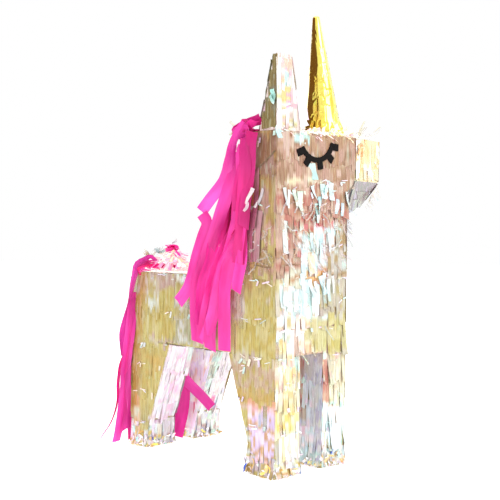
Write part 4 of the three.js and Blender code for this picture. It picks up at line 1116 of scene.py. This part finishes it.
for i in range(110):
    ang, r0 = rng.uniform(0, 6.28), rng.uniform(6, 40)
    if r0 < 24:
        c, sn = math.cos(ang), math.sin(ang)
        spots.append(((49 + r0 * c, 244 + r0 * sn, 263 - 0.55 * r0 + rng.uniform(-3, 2)), (c + rng.gauss(0, 0.7), sn + rng.gauss(0, 0.7), rng.uniform(-0.8, 0.5)), (c, sn, 1), rng.uniform(7, 15), rng.uniform(2, 4.5), rng.choice(((253, 240, 246), (252, 226, 238), (252, 246, 232), (250, 196, 224))), rng.uniform(-3, 4)))
        continue
    spots.append(((48 + r0 * math.cos(ang), 240 + r0 * math.sin(ang) * 0.7, 240.5), (math.cos(ang), math.sin(ang), 0.1), (0, 0, 1), rng.uniform(8, 14), rng.uniform(2, 4), rng.choice(((253, 235, 242), (250, 214, 226), (252, 246, 236))), rng.uniform(0, 3)))
spots = [q for q in spots if q[0][2] > 240 and q[0][1] < 276]
loose("tail_puff", spots, FILM_GLOW)
spots = []
for base, cols_, n in (((40, 262, 262), ((206, 246, 244), (226, 250, 246), (246, 250, 250)), 16), ((27, 268, 258), ((250, 232, 170), (246, 214, 140), (252, 246, 214)), 14),
                       ((62, 262, 276), ((214, 190, 214), (240, 214, 226)), 3)):
    for _ in range(n):
        ang = rng.uniform(0, 6.28)
        spots.append((base, (0.6 * math.cos(ang), 0.6 * math.sin(ang), rng.uniform(0.2, 0.9)), (math.cos(ang + 1), math.sin(ang + 1), 0.2), rng.uniform(7, 13), rng.uniform(1.5, 4), rng.choice(cols_), rng.uniform(-3, 4)))
o = loose("tail_tufts", spots, FILM_CLEAR)
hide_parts("tail_film_tuft")
# on the crown: round the horn, over the muzzle, along the front edge
spots = []
for _ in range(46):
    a = rng.uniform(0, 6.28)
    r = rng.uniform(23, 31)
    col = rng.choice(((250, 248, 240), (246, 236, 200), (226, 246, 246), (244, 220, 230), (252, 250, 246)))
    spots.append(((121 + r * math.cos(a), 33 + r * math.sin(a) * 0.9, 417), (math.cos(a + rng.gauss(0, 0.6)), math.sin(a + rng.gauss(0, 0.6)), rng.uniform(0.0, 0.7)), (0, 0, 1), rng.uniform(9, 19), rng.uniform(2, 5), col, rng.uniform(-2, 5)))
for _ in range(60):
    x = rng.uniform(8, 148)
    col = rng.choice(((252, 250, 244), (250, 232, 236), (226, 250, 250), (248, 240, 206), (246, 214, 224)))
    spots.append(((x, rng.uniform(1, 5), 416.6), (rng.gauss(0, 0.8), -0.35, rng.gauss(-0.15, 0.3)), (0, -0.6, 1), rng.uniform(7, 16), rng.uniform(2, 4.5), col, rng.uniform(-1, 2)))
loose("crown_edge_film", spots, FILM_GLOW)
spots = []
for _ in range(38):
    x = rng.uniform(150, 196)
    col = rng.choice(((252, 248, 214), (250, 240, 180), (248, 236, 226), (252, 252, 248)))
    spots.append(((x, rng.uniform(5, 44), 416.5), (rng.uniform(0.3, 1.0), rng.gauss(-0.1, 0.4), rng.uniform(0.1, 0.65)), (0, 0, 1), rng.uniform(12, 27), rng.uniform(1.5, 3.5), col, rng.uniform(-3, 4)))
loose("muzzle_tufts", spots, FILM_CLEAR)
# single larger pieces: the flap between ear and horn, the cyan tab under the eye, the one on the ear
spots = [((45, 13, 466), (0.0, -0.12, -1), (0, -1, 0.1), 36, 30, (236, 222, 240), 2.0), ((50, 15, 452), (0.25, -0.1, -1), (0, -1, 0.1), 30, 16, (250, 246, 250), 3.0)]
loose("crown_flap", spots, FILM_GLOW)
# cyan-white tabs on the face, ear and neck front: painted highlights, tints standing in for light reflected off the
# film
spots = [((61.5, -0.6, 378.5), (0.02, 0, -1), (0, -1, 0), 20, 11, (200, 244, 240), 1.4),
         ((-1.6, 6, 463), (0, -0.1, -1), (-1, 0, 0), 15, 7, (176, 240, 228), 1.5), ((-1.8, 12, 455), (0, -0.75, -0.6), (-1, 0, 0), 13, 5, (190, 244, 232), 1.5),
         ((1.0, -0.8, 420), (0, -0.1, -1), (-0.4, -1, 0), 15, 6, (206, 244, 246), 1.0), ((80, -1.5, 354), (0.05, 0, -1), (0, -1, 0), 18, 8, (196, 244, 240), 2.0),
         ((97, -1.5, 356), (-0.1, 0, -1), (0, -1, 0), 22, 8, (214, 246, 246), 2.0), ((39, -1.5, 344), (0.05, 0, -1), (0, -1, 0), 24, 11, (212, 244, 220), 2.0),
         ((69, -1.5, 330), (0.1, 0, -1), (0, -1, 0), 24, 9, (200, 246, 244), 2.0), ((127, -1, 346), (0.1, 0, -1), (0.3, -1, 0), 20, 8, (206, 240, 240), 3.0)]
# more cyan-white tabs down the neck front and upper chest: painted highlights
for x, z, ln, wd, col in ((9, 346, 24, 8, (216, 246, 246)), (17, 343, 20, 6, (240, 250, 250)), (27, 344, 22, 9, (214, 244, 222)), (62, 350, 22, 8, (206, 246, 248)),
                          (88, 352, 20, 8, (200, 246, 248)), (107, 340, 22, 7, (216, 240, 250)), (74, 338, 26, 8, (190, 244, 246)), (118, 330, 20, 7, (206, 236, 244)),
                          (44, 242, 22, 7, (226, 250, 250)), (51, 240, 20, 8, (206, 248, 248)), (59, 243, 24, 8, (222, 250, 250)), (67, 240, 20, 7, (240, 252, 252)),
                          (75, 242, 25, 8, (208, 248, 250)), (84, 241, 22, 8, (226, 250, 250)), (93, 243, 27, 8, (214, 248, 248)), (102, 241, 24, 7, (232, 250, 250)),
                          (30, 226, 26, 9, (236, 252, 252)), (16, 222, 22, 9, (250, 252, 252)), (60, 296, 26, 8, (208, 246, 250)), (76, 292, 28, 8, (200, 244, 248)), (92, 296, 22, 7, (226, 250, 252))):
    spots.append(((x + rng.uniform(-3, 3), -1.8, z + rng.uniform(-7, 4)), (rng.gauss(0, 0.14), -0.02, -1), (0, -1, 0), ln * rng.uniform(0.7, 1.15), -wd * rng.uniform(0.7, 1.1), col, rng.uniform(0.8, 2.6)))
for _ in range(9):  # a warm patch high on the muzzle
    x = rng.uniform(149, 164)
    spots.append(((x, (x - 146) * 0.222 - 2.6, rng.uniform(404, 411)), (rng.gauss(0, 0.05), 0, -1), (0, -1, 0), rng.uniform(9, 14), rng.uniform(3, 5), rng.choice(((250, 186, 104), (252, 200, 126), (252, 214, 150))), 0.4))
# white tabs on the neck's side: painted highlights
spots.append(((-12, 29, 347), (-0.1, 0.33, -1), (-1, -0.3, 0), 21, 5.5, (252, 246, 250), 1.0))
spots.append(((-13.0, 47.7, 404.5), (-1.0, 5.6, -15.3), (-1, -0.3, 0), 15, 5, (252, 236, 246), 1.0))
spots.append(((-14, 34, 330), (-0.1, 0.4, -1), (-1, -0.3, 0), 12, 5, (250, 226, 240), 1.0))
loose("film_tabs_cyan", spots, FILM_HIGHLIGHT)
spots = []
for _ in range(70):  # creased wisps where the film was pulled round the neck
    x, z = rng.uniform(4, 118), rng.choice((rng.gauss(268, 10), rng.gauss(300, 14), rng.gauss(322, 10)))
    spots.append(((x, -1.6, z), (rng.gauss(0.55, 0.6), -0.03, rng.choice((-1, -1, 0.6))), (0, -1, 0), rng.uniform(10, 26), rng.uniform(1.2, 2.8), rng.choice(((252, 246, 240), (250, 240, 220), (214, 170, 120), (190, 140, 90), (248, 226, 232), (252, 252, 252), (226, 248, 248))), rng.uniform(0.5, 3.0)))
for _ in range(46):
    y, z = rng.uniform(5, 60), rng.choice((rng.gauss(262, 9), rng.gauss(300, 18)))
    spots.append(((-1.4, y, z), (-0.03, rng.gauss(0.2, 0.7), rng.choice((-1, -1, 0.5))), (-1, 0, 0), rng.uniform(9, 20), rng.uniform(1.2, 2.6), rng.choice(((236, 214, 206), (250, 238, 232), (176, 134, 90), (206, 170, 120), (250, 250, 250))), rng.uniform(0.4, 2.0)))
loose("film_wisps_neck", spots, FILM_CLEAR)
# thin dark strips along folds on the head, face and neck: painted shade in the creases
spots = [((-1.7, 3, 391), (0, 36, -29), (-1, 0, 0), 42, 1.4, (128, 106, 84), 0.6), ((146, -1.3, 362), (-26, 0, -27), (0, -1, 0), 34, 1.3, (132, 108, 96), 0.6),
         ((-1.6, 31, 253), (0, -31, 1), (-1, 0, 0), 24, 1.2, (150, 112, 90), 0.6), ((8, -1.6, 256), (1, 0, -0.05), (0, -1, 0), 30, 1.3, (160, 96, 78), 0.6)]
loose("film_creases", spots, FILM)
spots = []
for _ in range(30):  # tufts under the jaw
    t = rng.random()
    x = 172 + 37 * t
    spots.append(((x, (x - 146) * 0.222 - rng.uniform(0, 1.2), 327 + 33 * t), (rng.gauss(0.15, 0.4), rng.gauss(-0.05, 0.2), -1), (0.4, -1, 0), rng.uniform(8, 17), rng.uniform(1.5, 3.5),
                  rng.choice(((250, 238, 150), (252, 246, 196), (246, 200, 224), (252, 250, 250), (226, 250, 246), (240, 226, 170))), rng.uniform(-1, 4)))
for _ in range(46):  # and down the throat
    z = rng.uniform(286, 338)
    spots.append(((127.5 + rng.uniform(0, 10) * (z > 320), rng.uniform(-0.5, 16), z), (rng.gauss(0.45, 0.3), rng.gauss(-0.15, 0.2), -1), (0.7, -0.7, 0), rng.uniform(10, 26), rng.uniform(1.5, 4),
                  rng.choice(((252, 252, 250), (226, 250, 250), (240, 240, 190), (252, 246, 230), (206, 240, 246), (236, 222, 236))), rng.uniform(-1, 5)))
loose("film_tufts_jaw", spots, FILM_CLEAR)
spots = []
for i in range(14):
    spots.append(((6 + rng.uniform(-3, 3), 66 + rng.uniform(-3, 5), 419 + rng.uniform(-4, 3)), (rng.gauss(-0.1, 0.3), 0.8, rng.gauss(0.0, 0.5)), (rng.gauss(0, 1), 0.2, 1), rng.uniform(9, 17), rng.uniform(2, 4.5), rng.choice(((250, 226, 140), (252, 240, 190), (246, 206, 120), (252, 250, 230))), rng.uniform(-3, 3)))
loose("mane_film_tuft", spots, FILM_CLEAR)
# mauve film hanging beside the mane
spots = [((-1.2, 34, 372), (0, 0.05, -1), (-1, 0, 0), 74, 15, (206, 122, 150), 0.6), ((-1.4, 26, 320), (0, 0.10, -1), (-1, 0, 0), 62, 12, (214, 160, 172), 0.8), ((-1.3, 41, 318), (0, 0.04, -1), (-1, 0, 0), 60, 12, (196, 110, 140), 0.8),
         ((-1.6, 20, 346), (0, 0.5, -0.9), (-1, 0, 0), 26, 4, (236, 230, 240), 1.2)]
loose("film_beside_mane", spots, FILM)
# thin strips that stand off the silhouette
spots = []
for _ in range(130):
    z = rng.uniform(20, 335)
    if 128 < z < 150 and rng.random() < 0.5:
        continue
    side = rng.random()
    if side < 0.62:
        root, out = (W + 0.5, rng.uniform(0, 20), z), (0.8, -0.5, 0)
    else:
        root, out = (rng.uniform(4, W), -0.6, z), (0.1, -1, 0)
    if root[2] < 150 and 44 < root[0] < 84:
        continue
    col = rng.choice(((252, 250, 226), (250, 240, 180), (252, 252, 250), (248, 226, 214), (226, 250, 248)))
    spots.append((root, (rng.gauss(0.1, 0.25), rng.gauss(0, 0.2), -1), out, rng.uniform(14, 30), rng.uniform(2, 4.5), col, rng.uniform(2, 7)))
loose("film_flyaways", spots, FILM_CLEAR)

# crumpled film round the feet
spots = []
for x0 in (0, 85):
    for y0, y1, edge_at in ((0, 46, "front"), (237, 270, "rear")):
        for i in range(120):
            side = rng.randrange(4)
            z = rng.uniform(1.5, 24) * (0.35 + 0.65 * rng.random())
            if side == 0:
                root, out, along = (x0 + rng.uniform(0, 42), y0 - 0.6, z), (0, -1, 0), (1, 0, 0)
            elif side == 1:
                root, out, along = (x0 + rng.uniform(0, 42), y1 + 0.6, z), (0, 1, 0), (1, 0, 0)
            elif side == 2:
                root, out, along = (x0 - 0.6, rng.uniform(y0, y1), z), (-1, 0, 0), (0, 1, 0)
            else:
                root, out, along = (x0 + 42.6, rng.uniform(y0, y1), z), (1, 0, 0), (0, 1, 0)
            g = rng.gauss(0, 0.9)
            d = Vector(along) * g + Vector((0, 0, -1.0 if rng.random() < 0.75 else 0.7)) + Vector(out) * rng.uniform(0.05, 0.6)
            col = rng.choice(((244, 242, 248), (236, 232, 246), (226, 220, 244), (250, 250, 250), (206, 166, 100), (214, 180, 120), (240, 214, 150), (222, 244, 240), (246, 220, 232), (226, 216, 234), (252, 252, 252), (186, 240, 226), (248, 232, 120), (150, 110, 60), (70, 100, 190)))
            if col[0] < 160 and rng.random() < 0.6:
                col = (238, 234, 244)
            ln = rng.uniform(5, 12) if d.z > 0 else min(rng.uniform(6, 14), max(3.0, z * 1.0))
            spots.append((root, d, out, ln, rng.uniform(1.8, 4.2), col, rng.uniform(0.2, 3.4)))
loose("film_ruffles_feet", spots, FILM_GLOW)


# ---------------------------------------------------------------------------------------------------- horn
def horn():
    """Foil pulled round the cone: long pleats, cross creases, and a gathered foot."""
    tip = math.radians(6.6)
    axis = Vector((-math.sin(tip), 0, math.cos(tip)))
    ex = Vector((math.cos(tip), 0, math.sin(tip)))
    ey = Vector((0, 1, 0))
    foot = Vector((121, 33, 415.3))
    m, n = 96, 110
    st = Strips()
    rows, cols, uvs = [], [], []
    for i in range(n + 1):
        a = i / n
        d = 1.5 + 152.5 * a
        base = 23.5 + (4.0 - 23.5) * max(0.0, (d - 3) / 151.0)
        if a > 0.985:
            base *= max(0.15, math.sqrt(max(0.0, 1 - ((a - 0.985) / 0.0155) ** 2)))
        row, uvr = [], []
        ruffle = max(0.0, 1 - d / 24.0)
        for j in range(m + 1):
            th = 2 * math.pi * j / m
            q = Vector((math.cos(th), math.sin(th), 0))
            f1 = noise.noise(Vector((q.x * 1.6, q.y * 1.6, d / 60.0)))
            f2 = noise.noise(Vector((q.x * 3.2 + 5, q.y * 3.2, d / 16.0)))
            f3 = noise.noise(Vector((q.x * 6.0, q.y * 6.0 + 9, d / 34.0)))
            ridge = abs(noise.noise(Vector((q.x * 1.5 + 2, q.y * 1.5, d / 13.0 + 4))))
            r = base * (1 + 0.022 * f1 + 0.014 * f3) + 0.18 * f2 - 18.0 * max(0.0, 0.05 - ridge) * (0.3 + 1.1 * max(0.0, 1 - a * 1.2))
            r += ruffle * (2.2 + 2.0 * math.sin(th * 17 + 2 * f2) + 1.8 * f2 * 2)
            p = foot + axis * (d + ruffle * 1.2 * math.sin(th * 9)) + ex * (r * q.x) + ey * (r * q.y)
            row.append(P(*p))
            uvr.append((th * 0.02, d / 1000))
        rows.append(row)
        uvs.append(uvr)
        cols.append((1, 1, 1))
    st.strip(rows, cols, uvs)
    o = st.build("horn_foil_wrap", FOIL)
    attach(o, "shell")
    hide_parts("horn_foil", "horn_collar")
    return o


horn()

# ---------------------------------------------------------------------------------------------------- CAD nodes
def under_film(name, palette, low=None, split=0.0):
    """The film that shows between the strips: the same streaks, from the surface's own place."""
    m, t, b, out = new_mat(name)
    tc = node(t, "ShaderNodeTexCoord")
    mp = node(t, "ShaderNodeMapping")
    mp.inputs["Scale"].default_value = (190.0, 190.0, 12.0)
    t.links.new(tc.outputs["Object"], mp.inputs[0])
    n1 = node(t, "ShaderNodeTexNoise", i_Scale=1.0, i_Detail=4.0, i_Roughness=0.6)
    t.links.new(mp.outputs[0], n1.inputs["Vector"])
    colours = []
    for pal in (palette, low) if low else (palette,):
        r = node(t, "ShaderNodeValToRGB")
        e = r.color_ramp.elements
        e[0].position, e[0].color = 0.34, (*[v * 0.6 for v in lin(pal[0][1])], 1)
        e[1].position, e[1].color = 0.66, (*lin(pal[-1][1]), 1)
        x = e.new(0.5)
        x.color = (*[v * 0.8 for v in lin(pal[1][1])], 1)
        t.links.new(n1.outputs["Fac"], r.inputs["Fac"])
        colours.append(r.outputs["Color"])
    if low:  # another film below this height
        sep = node(t, "ShaderNodeSeparateXYZ")
        t.links.new(tc.outputs["Object"], sep.inputs[0])
        up = node(t, "ShaderNodeMath")
        up.operation = "GREATER_THAN"
        up.inputs[1].default_value = split
        t.links.new(sep.outputs["Z"], up.inputs[0])
        mix = node(t, "ShaderNodeMix")
        mix.data_type = "RGBA"
        t.links.new(up.outputs[0], mix.inputs[0])
        t.links.new(colours[1], mix.inputs[6])
        t.links.new(colours[0], mix.inputs[7])
        t.links.new(mix.outputs[2], b.inputs["Base Color"])
    else:
        t.links.new(colours[0], b.inputs["Base Color"])
    b.inputs["Roughness"].default_value = 0.35
    b.inputs["Metallic"].default_value = 0.1
    b.inputs["Thin Film Thickness"].default_value = 430.0
    b.inputs["Thin Film IOR"].default_value = 1.7
    bump = node(t, "ShaderNodeBump", i_Strength=0.4, i_Distance=0.0008)
    t.links.new(n1.outputs["Fac"], bump.inputs["Height"])
    t.links.new(bump.outputs[0], b.inputs["Normal"])
    return m


UNDER = {
    "olive": under_film("under_olive", OLIVE), "pink": under_film("under_pink", FRONTN), "face": under_film("under_face", FACE),
    "lav": under_film("under_lavender", LAV), "muz": under_film("under_muzzle", MUZ, JAW, 0.3605), "top": under_film("under_top", TOPP),
    "ear": under_film("under_ear", EARF),
}


def under_for(n):
    if n.startswith("film_ear"):
        return UNDER["ear"]
    if n == "film_front":
        return UNDER["face"]
    if n in ("film_muzzle",):
        return UNDER["muz"]
    if n in ("film_crown", "film_door", "film_back_front", "film_back_rear"):
        return UNDER["top"]
    if n == "film_belly":
        return UNDER["lav"]
    if n == "film_side_left":
        return UNDER["pink"]
    return UNDER["olive"]


for n, o in NODES.items():
    slot = None
    if n.startswith("film_"):
        m = under_for(n)
    elif n.startswith("eye_"):
        m = STICKER
    elif n in ("horn_foil", "horn_collar"):
        m = FOIL
    elif n.startswith("hoof_"):
        m = BASE_CARD
    elif n.startswith("mane_") or n.startswith("tail_"):
        m = STREAMER
    else:
        m = CARD
    o.data.materials.clear()
    o.data.materials.append(m)
    for poly in o.data.polygons:
        poly.use_smooth = False

# ---------------------------------------------------------------------------------------------------- floor
bpy.ops.mesh.primitive_plane_add(size=12, location=(0, 0, 0))
floor = bpy.context.object
floor.name = "floor"
fm, ft, fb, fo = new_mat("floor_white")
fn = node(ft, "ShaderNodeTexNoise", i_Scale=3.0)
fb.inputs["Base Color"].default_value = (0.93, 0.93, 0.93, 1)
fb.inputs["Roughness"].default_value = 0.9
fb.inputs["Specular IOR Level"].default_value = 0.1
fb.inputs["Emission Color"].default_value = (1, 1, 1, 1)
fb.inputs["Emission Strength"].default_value = 0.75
floor.data.materials.append(fm)
